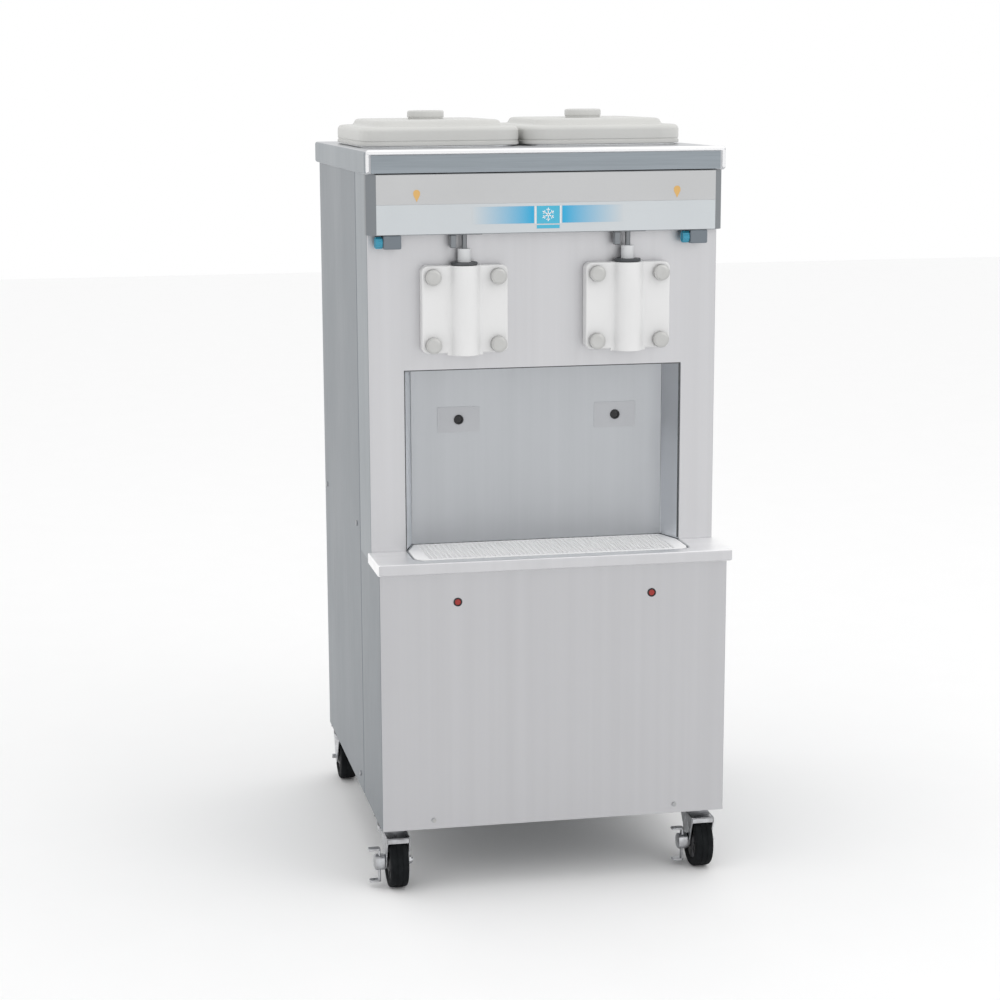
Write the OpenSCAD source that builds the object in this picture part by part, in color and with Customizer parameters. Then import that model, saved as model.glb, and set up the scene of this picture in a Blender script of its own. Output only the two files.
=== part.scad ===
// Floor-standing twin soft serve machine: two hoppers, two freezing cylinders, two dispensing doors.
// Millimetres, +Z up, front towards -Y. The origin is on the floor, under the middle of the footprint.

/* [Cabinet] */
// Width across the side panels
body_w = 680; // [670:1:700]
// Depth from the lower front panel to the rear panel
body_d = 778; // [770:1:800]
// Height of the underside above the floor
base_z = 129; // [129:1:140]
// Height of the top deck above the floor
deck_z = 1419; // [1410:1:1430]
// Sheet metal thickness
sheet = 1.5; // [1:0.1:2]
// Setback of the upper front behind the lower front
setback = 101; // [95:1:110]
// Depth of the front panels' side returns, behind the upper front
corner_return = 141; // [120:1:160]

/* [Front] */
// Height of the serving ledge
ledge_z = 658; // [650:1:665]
// Depth of the folded edge of the ledge
ledge_lip = 22; // [18:1:24]
// Overhang of the ledge in front of the lower panel
ledge_over = 23; // [15:1:25]
// Height of the underside of the header
header_z = 1264; // [1260:1:1270]
// Height of the deck skirt and of the front trim band
skirt_h = 43; // [35:1:50]
// Distance that the header stands out from the upper front
header_out = 34; // [32:1:40]

/* [Recess and drip tray] */
// Half width of the serving recess at its mouth
recess_w = 272; // [268:1:275]
// Half width of the serving recess at its back
recess_back_w = 251; // [245:1:255]
// Depth of the serving recess
recess_d = 59; // [55:1:65]
// Height of the top of the recess
recess_z = 1007; // [1000:1:1010]
// Depth of the drip tray, top to bottom
tray_h = 45; // [35:1:48]

/* [Dispensing doors] */
// Distance of each cylinder from the centre plane
side_x = 158; // [155:1:160]
// Height of the freezing cylinder axis
cyl_z = 1123; // [1121:1:1125]
// Width and height of a door
door_size = 165; // [160:1:168]
// Thickness of a door
door_t = 28; // [24:1:30]
// Radius of the valve column on a door
column_r = 28.5; // [26:0.5:30]
// Lift of the draw valve
valve_lift = 26; // [20:1:28]

/* [Hoppers] */
// Distance of each hopper from the centre plane
hopper_x = 163; // [160:1:164]
// Depth of a hopper below the deck
hopper_h = 190; // [170:1:195]
// Height of a hopper cover above the deck
cover_h = 51; // [48:1:56]
// Radius of a cover knob
knob_r = 38; // [30:1:42]

/* [Casters] */
// Distance of each caster from the centre plane
caster_x = 306; // [300:1:307]
// Radius of a caster wheel
wheel_r = 51; // [50:0.5:51.5]
// Width of a caster wheel
wheel_w = 36; // [32:1:37]
// Distance from the swivel axis to the wheel axle
trail = 35; // [34:1:36]

/* [Hidden] */
$fn = 64;
eps = 0.01;

// Main planes
half_w = body_w / 2;
rear_wheel_out = 37;
front_y = ledge_over - (ledge_over + body_d + rear_wheel_out) / 2;
lip_y = front_y - ledge_over;
rear_y = front_y + body_d;
upper_y = front_y + setback;
seam_y = upper_y + corner_return;
head_y = upper_y - header_out;
skirt_z = deck_z - skirt_h;
ledge_w = half_w + 6;
deck_w = half_w + 7;
deck_rear_y = rear_y + 20;
lower_top_z = ledge_z - ledge_lip;
inner_w = half_w - sheet;

// Frame members
tube = 25;
post_out = half_w - 3;
post_in = post_out - tube;
base_t = 3;
frame_top = skirt_z - 2;
mid_z = 687;
shelf_t = 3;
cradle_z = cyl_z - 75.5;

// Recess and tray plan
recess_back_y = upper_y + recess_d;
tray_front_y = front_y + 9;
tray_back_y = recess_back_y - 2;
tray_w = recess_w - 4;
tray_back_w = recess_back_w - 3;
tray_corner = 22;
well_gap = 1;
tray_top = ledge_z - 3;
tray_floor = tray_top - tray_h;

// Dispensing axis and door
draw_y = upper_y - 21;
door_face_y = upper_y - door_t;
door_z0 = cyl_z - door_size / 2;
door_z1 = cyl_z + door_size / 2;
spout_z = door_z0 - 4;
bore_r = 14;
spout_r = 11;
barrel_r = 50;
barrel_out = 75;
barrel_back_y = 60;
plug_r = 45.8;
plug_d = 25;
screw_dx = 62.5;
screw_dz = 64;
screw_z = cyl_z - 2;
stud_r = 4;
hand_screw_r = 15.5;
hand_screw_t = 16;
valve_z = 1068;
valve_top = door_z1 + 4;
slot_z = valve_top + 11;
rod_r = 5;
rod_head_r = 9;
rod_top = 1296;

// Drive train
shaft_r = 9;
drive_r = 50;
pulley_y = 172;
pulley_w = 20;
driven_core = 50;
motor_core = 25;
belt_t = 8;
belt_gap = 0.3;
motor_z = 765;
motor_r = 62;
run_gap = 0.05;

// Hoppers and covers
hopper_y = 65;
tub_w = 136;
tub_d = 176;
cover_w = 159;
cover_d = 199;
feed_y = -60;

// Condenser
fan_z = 360;
fan_r = 158;

// Casters
front_caster_y = front_y + 87;
rear_caster_y = rear_y - 49;
axle_r = 5;
leg_in = wheel_w / 2 + 2;
leg_t = 3;

// A block given by its two corners
module slab(x0, x1, y0, y1, z0, z1) {
    translate([x0, y0, z0])
        cube([x1 - x0, y1 - y0, z1 - z0]);
}

// The same block on the left and on the right
module pair(x0, x1, y0, y1, z0, z1) {
    slab(x0, x1, y0, y1, z0, z1);
    slab(-x1, -x0, y0, y1, z0, z1);
}

// Cylinders along Y, along X and along Z
module rod_y(x, z, y0, y1, r) {
    translate([x, y0, z])
        rotate([-90, 0, 0])
            cylinder(r = r, h = y1 - y0);
}

module rod_x(y, z, x0, x1, r) {
    translate([x0, y, z])
        rotate([0, 90, 0])
            cylinder(r = r, h = x1 - x0);
}

module rod_z(x, y, z0, z1, r) {
    translate([x, y, z0])
        cylinder(r = r, h = z1 - z0);
}

// Rounded rectangle given by its half sizes, centred on the origin
module round_rect(w, d, r) {
    square([2 * w, 2 * (d - r)], center = true);
    square([2 * (w - r), 2 * d], center = true);
    for (sx = [-1, 1], sy = [-1, 1])
        translate([sx * (w - r), sy * (d - r)])
            circle(r = r);
}

module round_block(x, y, w, d, r, z0, z1) {
    translate([x, y, z0])
        linear_extrude(z1 - z0)
            round_rect(w, d, r);
}

// ---------------------------------------------------------------- cabinet

module chassis_frame() {
    color("darkgray") {
        slab(-post_out, post_out, front_y + 2, rear_y - 2, base_z, base_z + base_t);
        // Posts: short ones at the front, full ones behind the upper front and at the rear
        pair(post_in, post_out, front_y + 3, front_y + 3 + tube, base_z, lower_top_z - 3);
        pair(post_in, post_out, upper_y + 2, upper_y + 2 + tube, base_z, frame_top);
        pair(post_in, post_out, rear_y - 3 - tube, rear_y - 3, base_z, frame_top);
        // Side rails at shelf, cradle and deck height
        for (z = [mid_z - tube, cradle_z - tube, frame_top - tube])
            pair(post_in, post_out, upper_y + tube, rear_y - tube, z, z + tube);
        pair(post_in, post_out, front_y + tube, upper_y + tube, 520, 520 + tube);
        // Cross members
        slab(-post_out, post_out, front_y + 3, front_y + 3 + tube, 520, 520 + tube);
        slab(-post_out, post_out, upper_y + 2, upper_y + 2 + tube, frame_top - tube, frame_top);
        for (z = [mid_z - tube, frame_top - tube])
            slab(-post_out, post_out, rear_y - 3 - tube, rear_y - 3, z, z + tube);
        for (y = [-190, 20])
            slab(-post_out, post_out, y, y + tube, cradle_z - tube, cradle_z);
        // Motor shelf
        slab(-post_out, post_out, -120, rear_y - 13, mid_z, mid_z + shelf_t);
    }
}

module side_panel(s) {
    color("silver")
        mirror([s < 0 ? 1 : 0, 0, 0])
            union() {
                slab(inner_w, half_w, seam_y + 0.5, rear_y, base_z, skirt_z);
                slab(post_out + 0.5, inner_w + eps, seam_y + 0.5, seam_y + 12, base_z + 6, skirt_z - 6);
            }
}

// Pressed air louvres: slots with a hood over each
module louvre_slots(x, z0, rows, w) {
    for (i = [0 : rows - 1])
        slab(x - w / 2, x + w / 2, rear_y - 5, rear_y + 5, z0 + i * 26, z0 + i * 26 + 9);
}

module louvre_hoods(x, z0, rows, w) {
    for (i = [0 : rows - 1])
        slab(x - w / 2 - 4, x + w / 2 + 4, rear_y - eps, rear_y + 7, z0 + i * 26 + 9, z0 + i * 26 + 11.5);
}

gland_x = 250;
gland_z = 178;
gland_r = 6;

module rear_panel() {
    color("silver")
        difference() {
            union() {
                slab(-inner_w + 0.5, inner_w - 0.5, rear_y - sheet, rear_y, base_z, frame_top);
                for (x = [-160, 0, 160])
                    louvre_hoods(x, 230, 14, 130);
                for (x = [-160, 160])
                    louvre_hoods(x, 780, 5, 130);
                rod_y(gland_x, gland_z, rear_y - 10, rear_y + 12, 13);
                rod_y(gland_x, gland_z, rear_y - eps, rear_y + 4, 18);
            }
            for (x = [-160, 0, 160])
                louvre_slots(x, 230, 14, 130);
            for (x = [-160, 160])
                louvre_slots(x, 780, 5, 130);
            rod_y(gland_x, gland_z, rear_y - 12, rear_y + 14, gland_r);
        }
}

module upper_front_panel() {
    color("gainsboro")
        difference() {
            union() {
                slab(-half_w, half_w, upper_y, upper_y + sheet, ledge_z, skirt_z);
                pair(inner_w, half_w, upper_y, seam_y, lower_top_z, skirt_z);
            }
            slab(-recess_w, recess_w, upper_y - 1, upper_y + sheet + 1, ledge_z - 1, recess_z);
            for (s = [-1, 1])
                rod_y(s * side_x, cyl_z, upper_y - 1, upper_y + sheet + 1, 62);
            for (s = [-1, 1], dx = [-1, 1], dz = [-1, 1])
                rod_y(s * side_x + dx * screw_dx, screw_z + dz * screw_dz, upper_y - 1, upper_y + sheet + 1, 5);
        }
}

// Plan of the recess, g wider all round
module recess_plan(g) {
    polygon([
        [-recess_w - g, upper_y + sheet],
        [-recess_back_w - g, recess_back_y + g],
        [recess_back_w + g, recess_back_y + g],
        [recess_w + g, upper_y + sheet]
    ]);
}

sensor_x = 156;
sensor_z = 901;

module splash_liner() {
    color("lightsteelblue")
        difference() {
            translate([0, 0, ledge_z])
                linear_extrude(recess_z - ledge_z + sheet)
                    recess_plan(sheet);
            translate([0, 0, ledge_z - 1])
                linear_extrude(recess_z - ledge_z + 1)
                    union() {
                        recess_plan(0);
                        translate([-recess_w, upper_y - 1])
                            square([2 * recess_w, sheet + 2]);
                    }
            for (s = [-1, 1])
                rod_y(s * sensor_x, sensor_z, recess_back_y - 1, recess_back_y + sheet + 1, 6);
        }
}

reset_x = 190;
reset_z = 576;
foot_screw_x = 240;
foot_screw_z = 146;

module lower_front_panel() {
    color("gainsboro")
        difference() {
            union() {
                slab(-half_w, half_w, front_y, front_y + sheet, base_z, lower_top_z);
                pair(inner_w, half_w, front_y, seam_y, base_z, lower_top_z);
                for (s = [-1, 1])
                    rod_y(s * reset_x, reset_z, front_y - 2, front_y + 16, 8.5);
            }
            for (s = [-1, 1])
                rod_y(s * reset_x, reset_z, front_y - 3, front_y + 17, 6);
        }
}

// Plan of the drip tray, g wider all round: rounded front corners, sides that close in at the back
module tray_plan(g) {
    w = tray_w + g;
    back_w = tray_back_w + g;
    front = tray_front_y - g;
    back = tray_back_y + g;
    slope = (w - back_w) / (back - upper_y);
    intersection() {
        translate([0, (front + back) / 2 + 30])
            round_rect(w, (back - front) / 2 + 30, tray_corner);
        polygon([
            [-w - 10 * slope, upper_y - 10],
            [-w - 10 * slope, front - 10],
            [w + 10 * slope, front - 10],
            [w + 10 * slope, upper_y - 10],
            [back_w, back],
            [-back_w, back]
        ]);
    }
}

module drip_shelf() {
    color("whitesmoke")
        difference() {
            union() {
                slab(-ledge_w, ledge_w, lip_y, upper_y, ledge_z - sheet, ledge_z);
                slab(-ledge_w, ledge_w, lip_y, lip_y + sheet, lower_top_z, ledge_z);
                pair(ledge_w - sheet, ledge_w, lip_y, upper_y, lower_top_z, ledge_z);
                slab(-ledge_w, ledge_w, lip_y, front_y, lower_top_z, lower_top_z + sheet);
                translate([0, 0, tray_floor - 1.5 - sheet])
                    linear_extrude(ledge_z - tray_floor + 1.5 + sheet)
                        tray_plan(well_gap + sheet);
            }
            translate([0, 0, tray_floor - 1.5])
                linear_extrude(tray_h + 20)
                    tray_plan(well_gap);
            slab(-ledge_w, ledge_w, recess_back_y, recess_back_y + 5, tray_floor - 5, ledge_z + 1);
        }
}

// Header plan: a channel with bevelled front corners, g smaller all round
bevel = 17;
head_w = half_w + 3;
fascia_w = head_w - bevel;

module header_plan(g) {
    polygon([
        [-head_w + g, upper_y],
        [-head_w + g, head_y + bevel],
        [-fascia_w + g / 2, head_y + g],
        [fascia_w - g / 2, head_y + g],
        [head_w - g, head_y + bevel],
        [head_w - g, upper_y]
    ]);
}

module header_box() {
    color("lightslategray")
        difference() {
            translate([0, 0, header_z])
                linear_extrude(skirt_z - header_z)
                    header_plan(0);
            translate([0, 0, header_z + sheet])
                linear_extrude(skirt_z - header_z)
                    union() {
                        header_plan(sheet);
                        translate([-head_w + sheet, upper_y - eps])
                            square([2 * (head_w - sheet), 1]);
                    }
            for (s = [-1, 1])
                rod_z(s * side_x, draw_y, header_z - 1, header_z + 3, rod_r + 0.6);
        }
}

module header_fascia() {
    color("lightgray")
        slab(-fascia_w, fascia_w, head_y - sheet, head_y, header_z + 1, skirt_z - 1);
}

module top_deck() {
    color("silver")
        difference() {
            union() {
                translate([0, 0, skirt_z])
                    linear_extrude(deck_z - skirt_z)
                        deck_plan(0);
                rod_x(head_y + 2, deck_z - 3, -deck_w, deck_w, 5);
            }
            translate([0, 0, skirt_z - 1])
                linear_extrude(deck_z - skirt_z + 1 - sheet)
                    deck_plan(sheet);
            for (s = [-1, 1])
                round_block(s * hopper_x, hopper_y, tub_w + 4, tub_d + 4, 46, deck_z - 5, deck_z + 5);
        }
}

// Deck plan, g smaller all round, with rounded rear corners
module deck_plan(g) {
    r = 20;
    w = deck_w - g;
    translate([-w, head_y + g])
        square([2 * w, deck_rear_y - head_y - r - g]);
    translate([-w + r, deck_rear_y - g - 2 * r])
        square([2 * (w - r), 2 * r]);
    for (s = [-1, 1])
        translate([s * (w - r), deck_rear_y - g - r])
            circle(r = r);
}

latch_y = seam_y + 45;
latch_z = 680;

module panel_screws() {
    color("gray") {
        for (s = [-1, 1])
            rod_y(s * foot_screw_x, foot_screw_z, front_y - 2, front_y, 4.5);
        for (s = [-1, 1], z = [latch_z, base_z + 30])
            rod_x(latch_y, z, s > 0 ? half_w : -half_w - 2, s > 0 ? half_w + 2 : -half_w, 5.5);
        for (s = [-1, 1], z = [base_z + 20, 720, frame_top - 20])
            rod_y(s * (inner_w - 12), z, rear_y, rear_y + 2.5, 5);
        for (s = [-1, 1])
            rod_x(rear_y - 40, latch_z, s > 0 ? half_w : -half_w - 2, s > 0 ? half_w + 2 : -half_w, 5.5);
    }
}

// ---------------------------------------------------------------- hoppers

module mix_hopper(s) {
    x = s * hopper_x;
    color("silver")
        difference() {
            union() {
                round_block(x, hopper_y, tub_w + 1.5, tub_d + 1.5, 43.5, deck_z - hopper_h, deck_z + 1);
                round_block(x, hopper_y, tub_w + 16, tub_d + 16, 52, deck_z, deck_z + 2);
                round_block(x, hopper_y, tub_w + 10, tub_d + 10, 50, deck_z, deck_z + 37.5);
            }
            round_block(x, hopper_y, tub_w, tub_d, 42, deck_z - hopper_h + 1.5, deck_z + 60);
            rod_z(s * side_x, feed_y, deck_z - hopper_h - 1, deck_z - hopper_h + 3, 12.5);
        }
}

module hopper_cover(s) {
    x = s * hopper_x;
    shell = 4;
    shoulder = deck_z + cover_h - 9;
    color("gainsboro") {
        difference() {
            round_block(x, hopper_y, cover_w, cover_d, 52, deck_z + 7, shoulder);
            round_block(x, hopper_y, cover_w - shell, cover_d - shell, 48, deck_z + 6, shoulder - shell);
        }
        round_block(x, hopper_y, cover_w - 30, cover_d - 34, 40, shoulder - eps, shoulder + 9);
        rod_z(x, hopper_y, shoulder + 9 - eps, shoulder + 23, knob_r);
        rod_z(x, hopper_y, shoulder + 23 - eps, shoulder + 26, knob_r - 3);
    }
}

module mix_feed_tubes() {
    color("silver")
        for (s = [-1, 1])
            difference() {
                union() {
                    rod_z(s * side_x, feed_y, cyl_z + barrel_out + 0.5, deck_z - hopper_h + 8, 12);
                    rod_z(s * side_x, feed_y, deck_z - hopper_h - 5, deck_z - hopper_h - 0.2, 17);
                }
                rod_z(s * side_x, feed_y, cyl_z + barrel_out, deck_z - hopper_h + 9, 9);
            }
}

// ---------------------------------------------------------------- freezing and drive

module freezing_cylinders() {
    color("lightgray")
        for (s = [-1, 1]) {
            x = s * side_x;
            difference() {
                union() {
                    rod_y(x, cyl_z, upper_y + 8, barrel_back_y + 8, barrel_out);
                    rod_y(x, cyl_z, upper_y, upper_y + 9, 61.5);
                    slab(x - 80, x + 80, upper_y + sheet + 0.3, upper_y + 9.5, cyl_z - 82, cyl_z + 80);
                }
                rod_y(x, cyl_z, upper_y - 1, barrel_back_y, barrel_r);
                rod_y(x, cyl_z, barrel_back_y - 1, barrel_back_y + 9, shaft_r + run_gap);
                rod_z(x, feed_y, cyl_z + 40, cyl_z + 90, 9);
            }
            for (dx = [-1, 1], dz = [-1, 1])
                rod_y(x + dx * screw_dx, screw_z + dz * screw_dz, door_face_y - 11, upper_y + 5, stud_r);
        }
}

module door_gaskets() {
    color("white")
        for (s = [-1, 1])
            difference() {
                rod_y(s * side_x, cyl_z, upper_y + 5, upper_y + 12, barrel_r - 0.1);
                rod_y(s * side_x, cyl_z, upper_y + 4, upper_y + 13, plug_r + 0.2);
            }
}

module gear_reducers() {
    color("dimgray")
        for (s = [-1, 1])
            difference() {
                union() {
                    rod_y(s * side_x, cyl_z, barrel_back_y + 8.2, barrel_back_y + 20, 60);
                    rod_y(s * side_x, cyl_z, barrel_back_y + 19, 150, drive_r);
                    rod_y(s * side_x, cyl_z, 149, 162, 30);
                    for (a = [0 : 60 : 300])
                        translate([s * side_x, 0, cyl_z])
                            rotate([0, a, 0])
                                slab(-3, 3, barrel_back_y + 19, 140, 40, 57);
                }
                rod_y(s * side_x, cyl_z, barrel_back_y + 8, 104, shaft_r + run_gap);
                rod_y(s * side_x, cyl_z, 136, 163, 8 + run_gap);
            }
}

module beater(s) {
    x = s * side_x;
    front = upper_y + plug_d + 6;
    back = barrel_back_y - 6;
    translate([x, 0, cyl_z])
        color("white") {
            rod_y(0, 0, back - 8, 100, shaft_r);
            rod_y(0, 0, back - 8, back, 44);
            difference() {
                rod_y(0, 0, front, front + 8, 44);
                rod_y(0, 0, front - 1, front + 9, 34);
            }
            // Two carrier bars, each with a scraper blade on its outside
            for (a = [0, 180])
                rotate([0, a, 0]) {
                    slab(-5, 5, front, back, 34, 42);
                    slab(-2, 2, front + 4, back - 4, 41, 48);
                }
            // Core with flights that carry the product forwards
            rod_y(0, 0, front + 14, back + eps, 10);
            for (i = [0 : 9])
                rotate([0, i * 36, 0])
                    slab(-4, 4, front + 14 + i * 29, front + 18 + i * 29, -43, 43);
        }
}

// V-belt pulley with a core of radius r, on a shaft that reaches forward to y0
module pulley(x, z, r, y0) {
    color("darkslategray") {
        rod_y(x, z, pulley_y, pulley_y + 3, r + 10);
        rod_y(x, z, pulley_y, pulley_y + pulley_w, r);
        rod_y(x, z, pulley_y + pulley_w - 3, pulley_y + pulley_w, r + 10);
        rod_y(x, z, pulley_y + pulley_w - eps, pulley_y + pulley_w + 6, 14);
        rod_y(x, z, y0, pulley_y + eps, 8);
    }
}

// Outline of a belt at distance g outside the pulley cores: two circles and their common tangents
belt_span = cyl_z - motor_z;

module belt_plan(g) {
    r1 = driven_core + g;
    r2 = motor_core + g;
    a = asin((r1 - r2) / belt_span);
    translate([0, cyl_z])
        circle(r = r1);
    translate([0, motor_z])
        circle(r = r2);
    polygon([
        [r1 * cos(a), cyl_z - r1 * sin(a)],
        [-r1 * cos(a), cyl_z - r1 * sin(a)],
        [-r2 * cos(a), motor_z - r2 * sin(a)],
        [r2 * cos(a), motor_z - r2 * sin(a)]
    ]);
}

module drive_belts() {
    color("black")
        for (s = [-1, 1])
            translate([s * side_x, pulley_y + pulley_w - 4, 0])
                rotate([90, 0, 0])
                    linear_extrude(pulley_w - 8)
                        difference() {
                            belt_plan(belt_gap + belt_t);
                            belt_plan(belt_gap);
                        }
}

module beater_motors() {
    color("steelblue")
        for (s = [-1, 1])
            difference() {
                union() {
                    rod_y(s * side_x, motor_z, -50, 130, motor_r);
                    rod_y(s * side_x, motor_z, -64, 144, motor_r - 8);
                    rod_y(s * side_x, motor_z, 143, 152, 24);
                    slab(s * side_x - 50, s * side_x + 50, -20, 100, mid_z + shelf_t, motor_z - 45);
                    slab(s * side_x - 30, s * side_x + 30, 0, 80, motor_z + 50, motor_z + 84);
                }
                rod_y(s * side_x, motor_z, 120, 153, 8 + run_gap);
            }
}

// ---------------------------------------------------------------- refrigeration

module compressors() {
    r = 80;
    color("black")
        for (s = [-1, 1])
            translate([s * 165, -150, base_z + base_t]) {
                translate([0, 0, 18])
                    rotate_extrude()
                        polygon([
                            [0, 0], [r - 24, 0], [r, 24], [r, 190],
                            for (a = [15 : 15 : 90]) [r * cos(a), 190 + 45 * sin(a)]
                        ]);
                for (a = [45 : 90 : 315])
                    rotate([0, 0, a]) {
                        slab(50, 98, -14, 14, 18, 24);
                        translate([86, 0, 0])
                            cylinder(r = 12, h = 18);
                    }
                slab(-22, 22, -94, -70, 90, 150);
            }
}

module condenser() {
    color("goldenrod")
        difference() {
            union() {
                slab(-240, 240, 292, 340, base_z + base_t, 590);
                slab(-250, 250, 252, 292, base_z + base_t, 600);
                // Fan motor on a spider behind the shroud's mouth
                rod_y(0, fan_z, 176, 240, 42);
                for (a = [0 : 90 : 270])
                    translate([0, 0, fan_z])
                        rotate([0, a + 45, 0])
                            slab(-8, 8, 232, 240, 36, 190);
                for (a = [0 : 90 : 270])
                    translate([0, 0, fan_z])
                        rotate([0, a + 45, 0])
                            slab(-8, 8, 232, 253, 176, 190);
            }
            rod_y(0, fan_z, 251, 292 + eps, fan_r + 10);
            rod_y(0, fan_z, 210, 241, axle_r + run_gap);
        }
}

module condenser_fan() {
    color("gray") {
        rod_y(0, fan_z, 212, 280, axle_r);
        rod_y(0, fan_z, 262, 284, 32);
        for (a = [0 : 72 : 288])
            translate([0, 273, fan_z])
                rotate([0, a, 0])
                    rotate([0, 0, 24])
                        slab(-34, 34, -1.5, 1.5, 28, fan_r - 8);
    }
}

// ---------------------------------------------------------------- controls

module control_board() {
    color("seagreen") {
        slab(-150, 150, upper_y + 12, upper_y + 14, 1275, 1345);
        for (x = [-120, 0, 120], z = [1282, 1338])
            rod_y(x, z, upper_y + sheet, upper_y + 12 + eps, 4);
        slab(-110, -50, upper_y + 14 - eps, upper_y + 36, 1288, 1328);
        for (i = [0 : 4])
            slab(-20 + i * 26, -4 + i * 26, upper_y + 14 - eps, upper_y + 26, 1292, 1320);
    }
}

module cup_sensors() {
    color("black")
        for (s = [-1, 1]) {
            rod_y(s * sensor_x, sensor_z, recess_back_y - 4, recess_back_y, 9.5);
            rod_y(s * sensor_x, sensor_z, recess_back_y - eps, recess_back_y + 26, 5.6);
        }
}

module draw_solenoids() {
    color("dimgray")
        for (s = [-1, 1])
            difference() {
                rod_z(s * side_x, draw_y, header_z + sheet, 1336, 11);
                rod_z(s * side_x, draw_y, header_z, 1330, rod_r + 0.4);
            }
}

switch_left_x = -296;
switch_right_x = 295;
switch_z = 1250.5;

module switch_housings() {
    color("slategray")
        for (x = [switch_left_x, switch_right_x])
            difference() {
                slab(x - 17, x + 17, draw_y - 13, draw_y + 13, switch_z - 12.5, header_z);
                rod_x(draw_y, switch_z, x - 18, x - 4, 3 + run_gap);
            }
}

module power_knob(x) {
    color("steelblue") {
        rod_x(draw_y, switch_z, x - 31, x - 17.4, 11.5);
        rod_x(draw_y, switch_z, x - 17.5, x - 5, 3);
        slab(x - 32.5, x - 31 + eps, draw_y - 2, draw_y + 2, switch_z - 10, switch_z + 10);
    }
}

module reset_button(s) {
    color("firebrick") {
        rod_y(s * reset_x, reset_z, front_y - 0.5, front_y + 30, 5.7);
        rod_y(s * reset_x, reset_z, front_y + 21, front_y + 30, 8);
    }
}

// ---------------------------------------------------------------- dispensing doors

module freezer_door(s) {
    x = s * side_x;
    color("white")
        difference() {
            union() {
                translate([x, upper_y, cyl_z])
                    rotate([90, 0, 0])
                        linear_extrude(door_t)
                            round_rect(door_size / 2, door_size / 2, 12);
                difference() {
                    rod_z(x, draw_y, spout_z, door_z1, column_r);
                    slab(x - 40, x + 40, upper_y, upper_y + 20, spout_z - 1, door_z1 + 1);
                }
                rod_y(x, cyl_z, upper_y - 1, upper_y + plug_d, plug_r);
            }
            rod_z(x, draw_y, spout_z + 12, door_z1 + 1, bore_r + run_gap);
            rod_z(x, draw_y, spout_z - 1, spout_z + 13, spout_r);
            rod_y(x, cyl_z - 36, draw_y, upper_y + plug_d + 1, 7);
            for (dx = [-1, 1], dz = [-1, 1])
                rod_y(x + dx * screw_dx, screw_z + dz * screw_dz, door_face_y - 1, upper_y + 1, 4.6);
        }
}

module hand_screws(s) {
    color("silver")
        for (dx = [-1, 1], dz = [-1, 1])
            difference() {
                rod_y(s * side_x + dx * screw_dx, screw_z + dz * screw_dz,
                    door_face_y - hand_screw_t, door_face_y, hand_screw_r);
                rod_y(s * side_x + dx * screw_dx, screw_z + dz * screw_dz,
                    door_face_y - 12, door_face_y + 1, stud_r + 0.08);
            }
}

// The rod's head lies in a slot that is open at the back, so the door and valve slide off forwards
module draw_valve(s) {
    x = s * side_x;
    color("darkslategray")
        difference() {
            union() {
                rod_z(x, draw_y, valve_z, valve_top, bore_r);
                rod_z(x, draw_y, door_z1 + 0.5, door_z1 + 8, 25);
                rod_z(x, draw_y, door_z1 + 7, slot_z + 16, 12.5);
            }
            slab(x - rod_head_r - 0.6, x + rod_head_r + 0.6, draw_y, draw_y + 15, slot_z, slot_z + 6);
            rod_z(x, draw_y, slot_z, slot_z + 6, rod_head_r + 0.6);
            slab(x - rod_r - 0.6, x + rod_r + 0.6, draw_y, draw_y + 15, slot_z, slot_z + 17);
            slab(x - 30, x + 30, upper_y - 0.5, upper_y + 10, door_z1, valve_top + 5);
            rod_z(x, draw_y, slot_z, slot_z + 17, rod_r + 0.6);
        }
}

module draw_rod(s) {
    color("gray") {
        rod_z(s * side_x, draw_y, slot_z + 1, slot_z + 5, rod_head_r);
        rod_z(s * side_x, draw_y, slot_z + 4, rod_top, rod_r);
    }
}

// ---------------------------------------------------------------- drip tray

module drip_tray() {
    wall = 2;
    color("white")
        difference() {
            translate([0, 0, tray_floor])
                linear_extrude(tray_h)
                    tray_plan(0);
            translate([0, 0, tray_floor + wall])
                linear_extrude(tray_h)
                    tray_plan(-wall);
        }
}

module splash_grid() {
    pitch = 19;
    slot_l = 34;
    color("white")
        difference() {
            translate([0, 0, tray_top + 0.2])
                linear_extrude(2.6)
                    tray_plan(-0.5);
            for (ix = [-12 : 12], iy = [0 : 2])
                slab(ix * pitch - 2, ix * pitch + 2, tray_front_y + 14 + iy * 44,
                    tray_front_y + 14 + iy * 44 + slot_l, tray_top - 1, tray_top + 5);
        }
}

// ---------------------------------------------------------------- casters

module caster_plates() {
    color("dimgray")
        for (s = [-1, 1], y = [front_caster_y, rear_caster_y])
            translate([s * caster_x, y, 0]) {
                slab(-33, 33, -46, 46, base_z - 3, base_z);
                rod_z(0, 0, base_z - 14, base_z - 3 + eps, 31.5);
                rod_z(0, 0, wheel_r + 49, base_z - 13, 6);
                rod_z(0, 0, wheel_r + 48, wheel_r + 51.5, 10);
                for (dx = [-1, 1], dy = [-1, 1])
                    translate([dx * 25, dy * 37, base_z - 9])
                        cylinder(r = 7, h = 6 + eps, $fn = 6);
            }
}

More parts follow.
